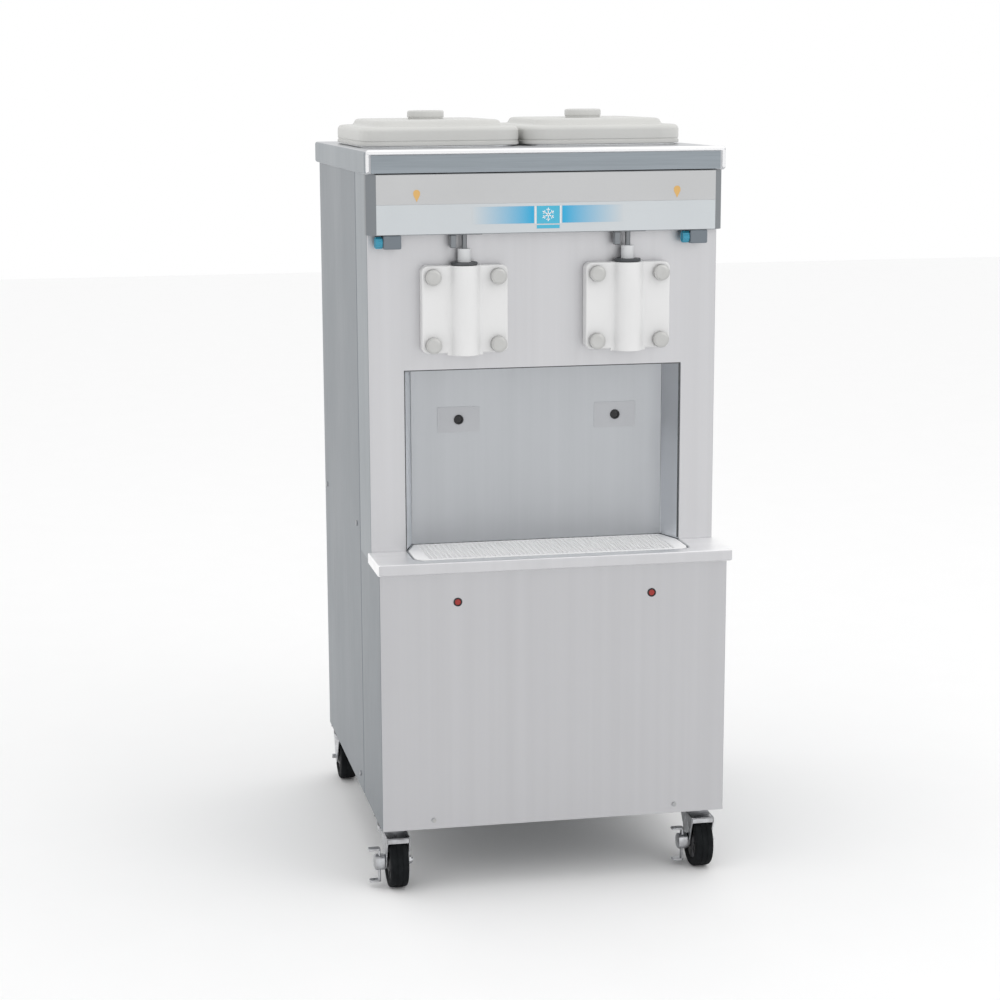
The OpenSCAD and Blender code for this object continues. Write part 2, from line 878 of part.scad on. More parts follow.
// Fork of a caster whose swivel axis is at (x, y) and whose wheel lies on the side d of it
module caster_fork(x, y, d) {
    crown_top = base_z - 14.4;
    crown_bot = wheel_r + 52;
    color("silver")
        translate([x, y, 0])
            mirror([0, d > 0 ? 0 : 1, 0])
                difference() {
                    union() {
                        rod_z(0, 0, crown_bot, crown_top, 31.5);
                        slab(-leg_in - leg_t, leg_in + leg_t, 0, trail + 31, crown_bot, crown_bot + 4);
                        slab(-leg_in - leg_t, leg_in + leg_t, trail + 28, trail + 31, crown_bot - 8, crown_bot + 1);
                        for (s = [-1, 1])
                            translate([s * (leg_in + leg_t / 2) - leg_t / 2, 0, 0])
                                rotate([90, 0, 90])
                                    linear_extrude(leg_t)
                                        union() {
                                            polygon([
                                                [-18, crown_bot + 4], [trail - 14, wheel_r],
                                                [trail + 14, wheel_r], [trail + 31, crown_bot - 8],
                                                [trail + 31, crown_bot + 4]
                                            ]);
                                            translate([trail, wheel_r])
                                                circle(r = 14);
                                        }
                        rod_x(trail, wheel_r, -32, 32, axle_r);
                        rod_x(trail, wheel_r, leg_in + leg_t - eps, leg_in + leg_t + 6, 8);
                    }
                    rod_z(0, 0, crown_bot - 1, crown_top + 1, 6 + run_gap);
                }
}

module caster_wheel(x, y, d) {
    e = 5;
    w = wheel_w / 2;
    color("black")
        translate([x, y + d * trail, wheel_r])
            rotate([0, 90, 0])
                rotate_extrude()
                    difference() {
                        union() {
                            translate([axle_r + run_gap, -w])
                                square([wheel_r - e - axle_r - run_gap, 2 * w]);
                            translate([axle_r + run_gap, -w + e])
                                square([wheel_r - axle_r - run_gap, 2 * (w - e)]);
                            for (s = [-1, 1])
                                translate([wheel_r - e, s * (w - e)])
                                    circle(r = e);
                        }
                        for (s = [-1, 1])
                            translate([16, s * w - 2.5])
                                square([20, 5]);
                    }
}

// Side lever of a front caster: a hub on the axle end, with a tab above and a tab below
module caster_brake(x) {
    color("silver")
        translate([x, front_caster_y - trail, wheel_r])
            difference() {
                union() {
                    rod_x(0, 0, -44, -leg_in - leg_t - 0.3, 16);
                    slab(-36, -32, -7, 7, -38, 28);
                    slab(-56, -32, -8, 8, 25, 29);
                    slab(-54, -32, -8, 8, -39, -35);
                }
                rod_x(0, 0, -33, -20, axle_r + run_gap);
            }
}

// ---------------------------------------------------------------- nodes

chassis_frame();
side_panel(-1);  // side_panel_left
side_panel(1);  // side_panel_right
rear_panel();
upper_front_panel();
splash_liner();
lower_front_panel();
drip_shelf();
header_box();
header_fascia();
top_deck();
panel_screws();
mix_hopper(-1);  // mix_hopper_left
mix_hopper(1);  // mix_hopper_right
mix_feed_tubes();
freezing_cylinders();
door_gaskets();
gear_reducers();
drive_belts();
beater_motors();
compressors();
condenser();
control_board();
cup_sensors();
draw_solenoids();
switch_housings();
caster_plates();
hopper_cover(-1);  // hopper_cover_left
hopper_cover(1);  // hopper_cover_right
beater(-1);  // beater_left
beater(1);  // beater_right
pulley(-side_x, cyl_z, driven_core, 140);  // driven_pulley_left
pulley(side_x, cyl_z, driven_core, 140);  // driven_pulley_right
pulley(-side_x, motor_z, motor_core, 124);  // motor_pulley_left
pulley(side_x, motor_z, motor_core, 124);  // motor_pulley_right
condenser_fan();
power_knob(switch_left_x);  // power_knob_left
power_knob(switch_right_x);  // power_knob_right
reset_button(-1);  // reset_button_left
reset_button(1);  // reset_button_right
freezer_door(-1);  // freezer_door_left
freezer_door(1);  // freezer_door_right
draw_valve(-1);  // draw_valve_left
draw_valve(1);  // draw_valve_right
draw_rod(-1);  // draw_rod_left
draw_rod(1);  // draw_rod_right
hand_screws(-1);  // hand_screws_left
hand_screws(1);  // hand_screws_right
drip_tray();
splash_grid();
caster_fork(-caster_x, front_caster_y, -1);  // caster_fork_front_left
caster_fork(caster_x, front_caster_y, -1);  // caster_fork_front_right
caster_fork(-caster_x, rear_caster_y, 1);  // caster_fork_rear_left
caster_fork(caster_x, rear_caster_y, 1);  // caster_fork_rear_right
caster_wheel(-caster_x, front_caster_y, -1);  // caster_wheel_front_left
caster_wheel(caster_x, front_caster_y, -1);  // caster_wheel_front_right
caster_wheel(-caster_x, rear_caster_y, 1);  // caster_wheel_rear_left
caster_wheel(caster_x, rear_caster_y, 1);  // caster_wheel_rear_right
caster_brake(-caster_x);  // caster_brake_left
caster_brake(caster_x);  // caster_brake_right
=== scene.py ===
"""Looks of a floor-standing twin soft serve machine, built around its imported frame.

Each sub-assembly is a class with its sizes as fields and methods that build and dress its pieces.
Places come from the frame's node boxes. Lengths are in metres; MM turns millimetres into metres.
"""

import logging
import math
from dataclasses import dataclass
from enum import Enum
from typing import Callable, Optional, Sequence

import bmesh
import bpy
from mathutils import Matrix, Vector

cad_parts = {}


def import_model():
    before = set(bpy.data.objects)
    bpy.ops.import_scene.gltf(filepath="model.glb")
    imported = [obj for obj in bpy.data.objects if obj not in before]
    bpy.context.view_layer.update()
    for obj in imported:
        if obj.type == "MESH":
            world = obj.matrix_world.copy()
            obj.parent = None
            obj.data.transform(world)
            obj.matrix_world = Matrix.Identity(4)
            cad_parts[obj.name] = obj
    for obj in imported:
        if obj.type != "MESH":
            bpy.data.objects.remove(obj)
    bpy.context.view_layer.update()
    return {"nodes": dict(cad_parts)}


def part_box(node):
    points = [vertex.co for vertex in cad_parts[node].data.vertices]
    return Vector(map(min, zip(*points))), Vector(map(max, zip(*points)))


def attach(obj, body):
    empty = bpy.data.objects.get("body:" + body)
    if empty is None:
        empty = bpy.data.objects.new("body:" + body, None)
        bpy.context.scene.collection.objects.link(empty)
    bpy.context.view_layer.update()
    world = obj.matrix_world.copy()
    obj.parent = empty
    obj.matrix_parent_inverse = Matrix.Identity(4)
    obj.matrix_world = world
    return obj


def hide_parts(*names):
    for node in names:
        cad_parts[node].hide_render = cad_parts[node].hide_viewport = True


MM = 0.001
LOG = logging.getLogger("soft_serve_machine")

Point2 = tuple[float, float]
Point3 = tuple[float, float, float]
Color = tuple[float, float, float]


class Axis(Enum):
    """A direction of the row frame."""

    X = (1.0, 0.0, 0.0)
    Y = (0.0, 1.0, 0.0)
    Z = (0.0, 0.0, 1.0)


class Side(Enum):
    """A side of the machine, as seen from the front, with the sign of its x."""

    LEFT = -1
    RIGHT = 1

    @property
    def word(self) -> str:
        """The side's name, as node and body names spell it."""
        return self.name.lower()


class Grain(Enum):
    """Direction in which sheet metal is brushed, as the stretch of the noise along x, y and z."""

    VERTICAL = (1.0, 1.0, 0.012)
    ACROSS = (0.012, 1.0, 1.0)
    DEPTH = (1.0, 0.012, 1.0)


@dataclass(frozen=True)
class Box:
    """Lowest and highest corner of a CAD node."""

    lo: Vector
    hi: Vector

    @classmethod
    def of(cls, node: str) -> "Box":
        """Reads a node's box from the frame.

        Args:
            node: name of the CAD node.

        Returns:
            The node's box, in metres.
        """
        low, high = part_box(node)
        return cls(Vector(low), Vector(high))

    @property
    def mid(self) -> Vector:
        """The box's centre."""
        return (self.lo + self.hi) / 2

    @property
    def size(self) -> Vector:
        """The box's three lengths."""
        return self.hi - self.lo


# ------------------------------------------------------------------ outlines


def arc(center: Point2, radius: float, start: float, end: float, steps: int = 8) -> list[Point2]:
    """Points along an arc.

    Args:
        center: centre of the arc.
        radius: its radius.
        start: first angle, in degrees.
        end: last angle, in degrees.
        steps: number of chords.

    Returns:
        The points, both ends included.
    """
    angles = [math.radians(start + (end - start) * i / steps) for i in range(steps + 1)]
    return [(center[0] + radius * math.cos(a), center[1] + radius * math.sin(a)) for a in angles]


def round_rect(half: Point2, radius: float, center: Point2 = (0.0, 0.0), steps: int = 8) -> list[Point2]:
    """A rectangle with round corners, counterclockwise.

    Args:
        half: half width and half depth.
        radius: corner radius.
        center: centre of the rectangle.
        steps: chords in each corner.

    Returns:
        The outline's points.
    """
    outline: list[Point2] = []
    corners = ((1, -1, -90), (1, 1, 0), (-1, 1, 90), (-1, -1, 180))
    for sx, sy, turn in corners:
        middle = (center[0] + sx * (half[0] - radius), center[1] + sy * (half[1] - radius))
        outline += arc(middle, radius, turn, turn + 90, steps)
    return outline


def filleted(points: Sequence[Point2], radius: float, steps: int = 5, closed: bool = False) -> list[Point2]:
    """Rounds the corners of a line of points.

    Args:
        points: the sharp corners.
        radius: radius of each corner.
        steps: chords in each corner.
        closed: whether the last point joins the first.

    Returns:
        The rounded line.
    """
    count = len(points)
    rounded: list[Point2] = []
    for i, point in enumerate(points):
        if not closed and i in (0, count - 1):
            rounded.append(point)
            continue
        here = Vector(point)
        back = (Vector(points[i - 1]) - here).normalized()
        ahead = (Vector(points[(i + 1) % count]) - here).normalized()
        half_angle = back.angle(ahead) / 2
        if half_angle > math.radians(89.5):
            rounded.append(point)
            continue
        middle = here + (back + ahead).normalized() * radius / math.sin(half_angle)
        start = here + back * radius / math.tan(half_angle) - middle
        end = here + ahead * radius / math.tan(half_angle) - middle
        for k in range(steps + 1):
            spoke = start.lerp(end, k / steps).normalized() * radius
            rounded.append(tuple(middle + spoke))
    return rounded


def in_mm(points: Sequence[Point2]) -> list[Point2]:
    """A profile whose numbers are millimetres, in metres."""
    return [(r * MM, h * MM) for r, h in points]


def mirrored(sign: int, a: float, b: float) -> tuple[float, float]:
    """The lower and the higher of two places, on either side of the middle plane."""
    low, high = sorted((sign * a, sign * b))
    return low, high


def lobed(radius: float, depth: float, lobes: int, steps: int = 4) -> list[Point2]:
    """A circle with shallow flutes, for grips and knurls.

    Args:
        radius: outer radius.
        depth: depth of each flute.
        lobes: number of flutes.
        steps: points for each flute.

    Returns:
        The outline's points, counterclockwise.
    """
    count = lobes * steps
    outline = []
    for i in range(count):
        turn = 2 * math.pi * i / count
        reach = radius - depth * (0.5 + 0.5 * math.cos(lobes * turn))
        outline.append((reach * math.cos(turn), reach * math.sin(turn)))
    return outline


# ------------------------------------------------------------------ meshes


class Shape:
    """One mesh, gathered from parts that bmesh operators make."""

    def __init__(self) -> None:
        """Starts an empty mesh."""
        self.bm = bmesh.new()

    def absorb(self, part: bmesh.types.BMesh, slot: int) -> "Shape":
        """Closes a part, turns its normals outward and adds it.

        Args:
            part: the part, which is used up.
            slot: material slot of its faces.

        Returns:
            This shape.
        """
        bmesh.ops.remove_doubles(part, verts=part.verts[:], dist=2e-6)
        bmesh.ops.recalc_face_normals(part, faces=part.faces[:])
        for face in part.faces:
            face.material_index = slot
        mesh = bpy.data.meshes.new("part")
        part.to_mesh(mesh)
        part.free()
        self.bm.from_mesh(mesh)
        bpy.data.meshes.remove(mesh)
        return self

    def block(
        self,
        lo: Sequence[float],
        hi: Sequence[float],
        bevel: float = 0.0,
        segments: int = 3,
        turn: Optional[Matrix] = None,
        slot: int = 0,
    ) -> "Shape":
        """Adds a block with rounded edges.

        Args:
            lo: lowest corner.
            hi: highest corner.
            bevel: radius of the edges.
            segments: bevel segments.
            turn: a placement applied afterwards.
            slot: material slot.

        Returns:
            This shape.
        """
        part = bmesh.new()
        low, high = Vector(lo), Vector(hi)
        scale = Matrix.Diagonal((*(high - low), 1.0))
        bmesh.ops.create_cube(part, size=1.0, matrix=Matrix.Translation((low + high) / 2) @ scale)
        self._bevel(part, part.edges[:], bevel, segments)
        if turn is not None:
            bmesh.ops.transform(part, matrix=turn, verts=part.verts[:])
        return self.absorb(part, slot)

    @staticmethod
    def _bevel(part: bmesh.types.BMesh, edges: list, width: float, segments: int) -> None:
        """Rounds some edges of a part.

        Args:
            part: the part.
            edges: its edges to round.
            width: radius of the rounding.
            segments: number of segments.
        """
        if width > 0:
            bmesh.ops.bevel(
                part, geom=edges, offset=width, segments=segments, affect="EDGES", profile=0.5, material=-1
            )

    @staticmethod
    def _place(axis: Axis) -> Callable[[float, float, float], Vector]:
        """How an outline's two coordinates and the distance along an axis become a point.

        Args:
            axis: the axis that the outline is square to.

        Returns:
            A function of the two coordinates and the distance.
        """
        if axis is Axis.Z:
            return lambda a, b, h: Vector((a, b, h))
        if axis is Axis.Y:
            return lambda a, b, h: Vector((a, h, b))
        return lambda a, b, h: Vector((h, a, b))

    def prism(
        self,
        outline: Sequence[Point2],
        start: float,
        end: float,
        axis: Axis = Axis.Z,
        bevel: float = 0.0,
        segments: int = 3,
        slot: int = 0,
    ) -> "Shape":
        """Adds an extruded outline, with both rims rounded.

        Args:
            outline: the outline, in the plane square to the axis.
            start: where the extrusion starts.
            end: where it ends.
            axis: direction of the extrusion.
            bevel: radius of the two rims.
            segments: bevel segments.
            slot: material slot.

        Returns:
            This shape.
        """
        part = bmesh.new()
        place = self._place(axis)
        base = part.faces.new([part.verts.new(place(a, b, start)) for a, b in outline])
        grown = bmesh.ops.extrude_face_region(part, geom=[base])
        moved = [g for g in grown["geom"] if isinstance(g, bmesh.types.BMVert)]
        bmesh.ops.translate(part, verts=moved, vec=Vector(axis.value) * (end - start))
        rims = [e for e in part.edges if abs((e.verts[0].co - e.verts[1].co).dot(Vector(axis.value))) < 1e-9]
        self._bevel(part, rims, bevel, segments)
        return self.absorb(part, slot)

    def lathe(
        self,
        profile: Sequence[Point2],
        origin: Sequence[float],
        axis: Axis = Axis.Z,
        steps: int = 48,
        closed: bool = False,
        slot: int = 0,
    ) -> "Shape":
        """Adds a turned part.

        Args:
            profile: radius and distance along the axis of each point; it ends on the axis unless closed.
            origin: a point on the axis, from which the distances count.
            axis: direction of the axis.
            steps: facets round the axis.
            closed: whether the last point joins the first.
            slot: material slot.

        Returns:
            This shape.
        """
        part = bmesh.new()
        along = Vector(axis.value)
        across = Vector((0.0, 0.0, 1.0)) if axis is Axis.X else Vector((1.0, 0.0, 0.0))
        verts = [part.verts.new(Vector(origin) + across * r + along * h) for r, h in profile]
        pairs = list(zip(verts, verts[1:])) + ([(verts[-1], verts[0])] if closed else [])
        edges = [part.edges.new(pair) for pair in pairs]
        bmesh.ops.spin(
            part, geom=verts + edges, cent=origin, axis=along, angle=2 * math.pi, steps=steps, use_merge=True
        )
        return self.absorb(part, slot)

    def bar(
        self,
        radius: float,
        span: Point2,
        origin: Sequence[float],
        axis: Axis = Axis.Z,
        steps: int = 48,
        slot: int = 0,
    ) -> "Shape":
        """Adds a plain round bar, which also serves as a drill for cut().

        Args:
            radius: its radius.
            span: where it starts and ends along the axis, counted from the origin.
            origin: a point on the axis.
            axis: direction of the axis.
            steps: facets round the axis.
            slot: material slot.

        Returns:
            This shape.
        """
        start, end = span
        profile = [(0, start), (radius, start), (radius, end), (0, end)]
        return self.lathe(profile, origin, axis, steps, slot=slot)

    def loft(self, loops: Sequence[Sequence[Point3]], capped: bool = True, slot: int = 0) -> "Shape":
        """Adds a skin over loops that have equally many points.

        Args:
            loops: the loops, in order.
            capped: whether the first and last loop are closed with a face.
            slot: material slot.

        Returns:
            This shape.
        """
        part = bmesh.new()
        verts = [part.verts.new(p) for p in loops[0]]
        ring = [part.edges.new((verts[i - 1], verts[i])) for i in range(len(verts))]
        if capped:
            bmesh.ops.contextual_create(part, geom=ring)
        for here, ahead in zip(loops, loops[1:]):
            grown = bmesh.ops.extrude_edge_only(part, edges=ring)["geom"]
            pairs = [(Vector(p), q) for p, q in zip(here, ahead)]
            ring = []
            for item in grown:
                if isinstance(item, bmesh.types.BMVert):
                    item.co = min(pairs, key=lambda pair: (pair[0] - item.co).length_squared)[1]
                elif isinstance(item, bmesh.types.BMEdge):
                    ring.append(item)
        if capped:
            bmesh.ops.contextual_create(part, geom=ring)
        return self.absorb(part, slot)

    def sheet(
        self,
        plan: Sequence[Point2],
        z0: float,
        z1: float,
        thickness: float,
        outward: Point3,
        windows: Sequence[tuple[float, float, float, float]] = (),
        slot: int = 0,
    ) -> "Shape":
        """Adds a folded upright sheet whose outer surface follows a plan line.

        Args:
            plan: the plan line of the outer surface.
            z0: lower edge.
            z1: upper edge.
            thickness: sheet thickness, which lies inward.
            outward: a direction that its widest face looks to.
            windows: openings in the faces that look outward, as x0, x1, z0, z1.
            slot: material slot.

        Returns:
            This shape.
        """
        part = bmesh.new()
        verts = [part.verts.new((x, y, z0)) for x, y in plan]
        edges = [part.edges.new(pair) for pair in zip(verts, verts[1:])]
        grown = bmesh.ops.extrude_edge_only(part, edges=edges)
        moved = [g for g in grown["geom"] if isinstance(g, bmesh.types.BMVert)]
        bmesh.ops.translate(part, verts=moved, vec=(0.0, 0.0, z1 - z0))
        bmesh.ops.recalc_face_normals(part, faces=part.faces[:])
        widest = max(part.faces, key=lambda f: f.calc_area())
        if widest.normal.dot(Vector(outward)) < 0:
            bmesh.ops.reverse_faces(part, faces=part.faces[:])
        for x0, x1, low, high in windows:
            planes = [((x, 0, 0), Axis.X.value) for x in (x0, x1)]
            planes += [((0, 0, z), Axis.Z.value) for z in (low, high)]
            for place, square in planes:
                geom = part.verts[:] + part.edges[:] + part.faces[:]
                bmesh.ops.bisect_plane(part, geom=geom, plane_co=place, plane_no=square)
            gone = []
            for face in part.faces:
                middle = face.calc_center_median()
                if x0 < middle.x < x1 and low < middle.z < high and face.normal.dot(Vector(outward)) > 0.9:
                    gone.append(face)
            bmesh.ops.delete(part, geom=gone, context="FACES")
        bmesh.ops.solidify(part, geom=part.faces[:], thickness=thickness)
        return self.absorb(part, slot)

    def tub(
        self, outline: Sequence[Point2], z0: float, z1: float, wall: float, fillet: float, slot: int = 0
    ) -> "Shape":
        """Adds an open tub with a rounded floor edge.

        Args:
            outline: its outer plan.
            z0: underside.
            z1: rim.
            wall: wall thickness, which lies inward.
            fillet: radius between floor and wall.
            slot: material slot.

        Returns:
            This shape.
        """
        part = bmesh.new()
        floor = part.faces.new([part.verts.new((x, y, z0)) for x, y in outline])
        border = list(floor.edges)
        grown = bmesh.ops.extrude_edge_only(part, edges=border)
        moved = [g for g in grown["geom"] if isinstance(g, bmesh.types.BMVert)]
        bmesh.ops.translate(part, verts=moved, vec=(0.0, 0.0, z1 - z0))
        bmesh.ops.recalc_face_normals(part, faces=part.faces[:])
        if floor.normal.z > 0:
            bmesh.ops.reverse_faces(part, faces=part.faces[:])
        self._bevel(part, border, fillet, 4)
        bmesh.ops.solidify(part, geom=part.faces[:], thickness=wall)
        return self.absorb(part, slot)

    def tint(self, direction: Axis, slot: int) -> "Shape":
        """Gives the faces that look along an axis, either way, another material slot.

        Args:
            direction: the axis.
            slot: the material slot.

        Returns:
            This shape.
        """
        self.bm.normal_update()
        for face in self.bm.faces:
            if abs(face.normal.dot(Vector(direction.value))) > 0.7:
                face.material_index = slot
        return self

    def finish(
        self,
        name: str,
        finishes: Sequence["Finish"],
        body: str,
        slot: str,
        replaces: Sequence[str] = (),
        sharp: float = 40.0,
        weighted: bool = True,
    ) -> bpy.types.Object:
        """Turns the shape into a piece of the model.

        Args:
            name: the piece's name.
            finishes: a finish for each material slot.
            body: the body that it rides on.
            slot: the record's material slot; not used.
            replaces: the CAD nodes that it stands for.
            sharp: edges over this angle stay sharp, in degrees.
            weighted: whether normals are weighted by area.

        Returns:
            The new object.
        """
        for edge in self.bm.edges:
            if len(edge.link_faces) == 2:
                edge.smooth = edge.calc_face_angle(0.0) < math.radians(sharp)
        for face in self.bm.faces:
            face.smooth = True
        mesh = bpy.data.meshes.new(name)
        self.bm.to_mesh(mesh)
        self.bm.free()
        piece = bpy.data.objects.new(name, mesh)
        bpy.context.scene.collection.objects.link(piece)
        for finish in finishes:
            mesh.materials.append(finish.material())
        if weighted:
            modifier = piece.modifiers.new("even_normals", "WEIGHTED_NORMAL")
            modifier.keep_sharp = True
        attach(piece, body)
        if replaces:
            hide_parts(*replaces)
        LOG.info("piece %s: %d faces, rides on %s", name, len(mesh.polygons), body)
        return piece


def cut(piece: bpy.types.Object, tool: Shape) -> None:
    """Cuts a shape out of a piece, before its modifiers.

    Args:
        piece: the piece to cut.
        tool: the space to remove, which is used up.
    """
    mesh = bpy.data.meshes.new("tool")
    tool.bm.to_mesh(mesh)
    tool.bm.free()
    blade = bpy.data.objects.new("tool", mesh)
    bpy.context.scene.collection.objects.link(blade)
    kept = [m.show_viewport for m in piece.modifiers]
    for m in piece.modifiers:
        m.show_viewport = False
    boolean = piece.modifiers.new("cut", "BOOLEAN")
    boolean.object = blade
    boolean.operation = "DIFFERENCE"
    boolean.solver = "EXACT"
    boolean.use_self = True
    bpy.context.view_layer.update()
    view = piece.evaluated_get(bpy.context.evaluated_depsgraph_get())
    result = bpy.data.meshes.new_from_object(view)
    piece.modifiers.remove(boolean)
    old = piece.data
    result.name = old.name
    piece.data = result
    for m, shown in zip(piece.modifiers, kept):
        m.show_viewport = shown
    bpy.data.objects.remove(blade)
    bpy.data.meshes.remove(mesh)
    bpy.data.meshes.remove(old)


# ------------------------------------------------------------------ finishes


class Graph:
    """Short calls for building a material's node tree."""

    def __init__(self, tree: bpy.types.NodeTree) -> None:
        """Finds the shader and adds the object coordinates.

        Args:
            tree: the node tree to build in.
        """
        self.tree = tree
        self.shader = next(n for n in tree.nodes if n.type == "BSDF_PRINCIPLED")
        self.coords = self.node("ShaderNodeTexCoord").outputs["Object"]

    def node(self, kind: str, **settings: object) -> bpy.types.Node:
        """Adds a node.

        Args:
            kind: its type.
            settings: attributes to set on it.

        Returns:
            The node.
        """
        made = self.tree.nodes.new(kind)
        for key, value in settings.items():
            setattr(made, key, value)
        return made

    def wire(self, source: bpy.types.NodeSocket, target: bpy.types.NodeSocket) -> None:
        """Links two sockets.

        Args:
            source: the output.
            target: the input.
        """
        self.tree.links.new(source, target)

    def noise(
        self, scale: float, stretch: Point3 = (1.0, 1.0, 1.0), detail: float = 4.0
    ) -> bpy.types.NodeSocket:
        """A noise field over the object's own space.

        Args:
            scale: grains in a metre.
            stretch: factor for each axis; below one it draws the grain out.
            detail: octaves.

        Returns:
            The noise's value.
        """
        mapping = self.node("ShaderNodeMapping")
        mapping.inputs["Scale"].default_value = [scale * s for s in stretch]
        self.wire(self.coords, mapping.inputs["Vector"])
        texture = self.node("ShaderNodeTexNoise")
        texture.inputs["Scale"].default_value = 1.0
        texture.inputs["Detail"].default_value = detail
        self.wire(mapping.outputs["Vector"], texture.inputs["Vector"])
        return texture.outputs["Fac"]

    def spread(
        self, value: bpy.types.NodeSocket, low: float, high: float, start: float = 0.3, end: float = 0.7
    ) -> bpy.types.NodeSocket:
        """Maps a field to a range.

        Args:
            value: the field.
            low: result at the start.
            high: result at the end.
            start: value that gives the low result.
            end: value that gives the high result.

        Returns:
            The mapped field.
        """
        mapped = self.node("ShaderNodeMapRange")
        for key, number in (("From Min", start), ("From Max", end), ("To Min", low), ("To Max", high)):
            mapped.inputs[key].default_value = number
        self.wire(value, mapped.inputs["Value"])
        return mapped.outputs["Result"]

    def blend(self, factor: bpy.types.NodeSocket, low: Color, high: Color) -> bpy.types.NodeSocket:
        """A colour between two, chosen by a field.

        Args:
            factor: the field.
            low: colour at zero.
            high: colour at one.

        Returns:
            The colour.
        """
        ramp = self.node("ShaderNodeValToRGB")
        ramp.color_ramp.elements[0].color = (*low, 1.0)
        ramp.color_ramp.elements[1].color = (*high, 1.0)
        self.wire(factor, ramp.inputs["Fac"])
        return ramp.outputs["Color"]

    def part(self, axis: Axis) -> bpy.types.NodeSocket:
        """One coordinate of the object's space.

        Args:
            axis: which coordinate.

        Returns:
            Its field, in metres.
        """
        split = self.node("ShaderNodeSeparateXYZ")
        self.wire(self.coords, split.inputs["Vector"])
        return split.outputs[axis.name]

    def coat(self, tone: bpy.types.NodeSocket, rough: bpy.types.NodeSocket) -> None:
        """Gives the shader its colour and its roughness.

        Args:
            tone: the colour.
            rough: the roughness.
        """
        self.wire(tone, self.shader.inputs["Base Color"])
        self.wire(rough, self.shader.inputs["Roughness"])

    def bump(self, height: bpy.types.NodeSocket, strength: float, distance: float) -> None:
        """Drives the shader's normal with a height field.

        Args:
            height: the field.
            strength: strength of the effect.
            distance: height of the field's full range, in metres.
        """
        bump = self.node("ShaderNodeBump")
        bump.inputs["Strength"].default_value = strength
        bump.inputs["Distance"].default_value = distance
        self.wire(height, bump.inputs["Height"])
        self.wire(bump.outputs["Normal"], self.shader.inputs["Normal"])


def shade(color: Color, factor: float) -> Color:
    """A lighter or darker colour.

    Args:
        color: the colour.
        factor: above one to lighten it.

    Returns:
        The scaled colour, at most one in each channel.
    """
    return tuple(min(1.0, c * factor) for c in color)


@dataclass(frozen=True)
class Finish:
    """A material, built once by name."""

    name: str
    color: Color
    roughness: float = 0.5
    metallic: float = 0.0

    def material(self) -> bpy.types.Material:
        """The material, built on first use.

        Returns:
            The Blender material.
        """
        known = bpy.data.materials.get(self.name)
        if known is not None and known.get("built"):
            return known
        made = bpy.data.materials.new(self.name)
        made["built"] = True
        made.use_nodes = True
        graph = Graph(made.node_tree)
        graph.shader.inputs["Metallic"].default_value = self.metallic
        self.dress(graph)
        return made

    def dress(self, graph: Graph) -> None:
        """Builds the nodes.

        Args:
            graph: the material's node tree.
        """
        raise NotImplementedError

    def rough(
        self, graph: Graph, field: bpy.types.NodeSocket, below: float, above: float
    ) -> bpy.types.NodeSocket:
        """The finish's roughness, moved by a field.

        Args:
            graph: the material's node tree.
            field: the field.
            below: how far it goes down.
            above: how far it goes up.

        Returns:
            The roughness.
        """
        return graph.spread(field, self.roughness - below, self.roughness + above)

    def tones(self, below: float, above: float) -> tuple[Color, Color]:
        """A darker and a lighter tone of the finish's colour.

        Args:
            below: how much darker, as a share.
            above: how much lighter, as a share.

        Returns:
            Both tones.
        """
        return shade(self.color, 1 - below), shade(self.color, 1 + above)


@dataclass(frozen=True)
class BrushedSteel(Finish):
    """Sheet steel with fine brush strokes, broad streaks and faint smudges."""

    roughness: float = 0.34
    metallic: float = 1.0
    grain: Grain = Grain.VERTICAL
    streak: float = 0.05

    def dress(self, graph: Graph) -> None:
        """Strokes drive colour, roughness and bump; smudges only the roughness.

        Args:
            graph: the material's node tree.
        """
        fine = graph.noise(900.0, self.grain.value, 3.0)
        broad = graph.noise(38.0, self.grain.value, 4.0)
        smudge = graph.noise(5.0, (1.0, 1.0, 0.6), 3.0)
        mixed = graph.node("ShaderNodeMix", data_type="FLOAT")
        mixed.inputs["Factor"].default_value = 0.35
        graph.wire(broad, mixed.inputs["A"])
        graph.wire(fine, mixed.inputs["B"])
        factor = graph.spread(mixed.outputs["Result"], 0.0, 1.0, 0.32, 0.68)
        tone = graph.blend(factor, *self.tones(self.streak, self.streak))
        blurred = graph.node("ShaderNodeMath", operation="MULTIPLY_ADD")
        graph.wire(smudge, blurred.inputs[0])
        blurred.inputs[1].default_value = 0.16
        graph.wire(self.rough(graph, fine, 0.12, 0.0), blurred.inputs[2])
        graph.coat(tone, blurred.outputs[0])
        graph.bump(fine, 0.10, 0.00012)


@dataclass(frozen=True)
class MouldedPlastic(Finish):
    """Moulded plastic with a fine skin texture and a slow drift in colour."""

    roughness: float = 0.42
    texture: float = 0.12
    drift: float = 0.025

    def dress(self, graph: Graph) -> None:
        """Slow noise drives colour and roughness, fine noise the bump.

        Args:
            graph: the material's node tree.
        """
        slow = graph.noise(7.0, detail=3.0)
        fine = graph.noise(1400.0, detail=2.0)
        tone = graph.blend(graph.spread(slow, 0.0, 1.0), *self.tones(self.drift, self.drift))
        graph.coat(tone, self.rough(graph, slow, 0.06, 0.06))
        graph.bump(fine, self.texture, 0.00015)


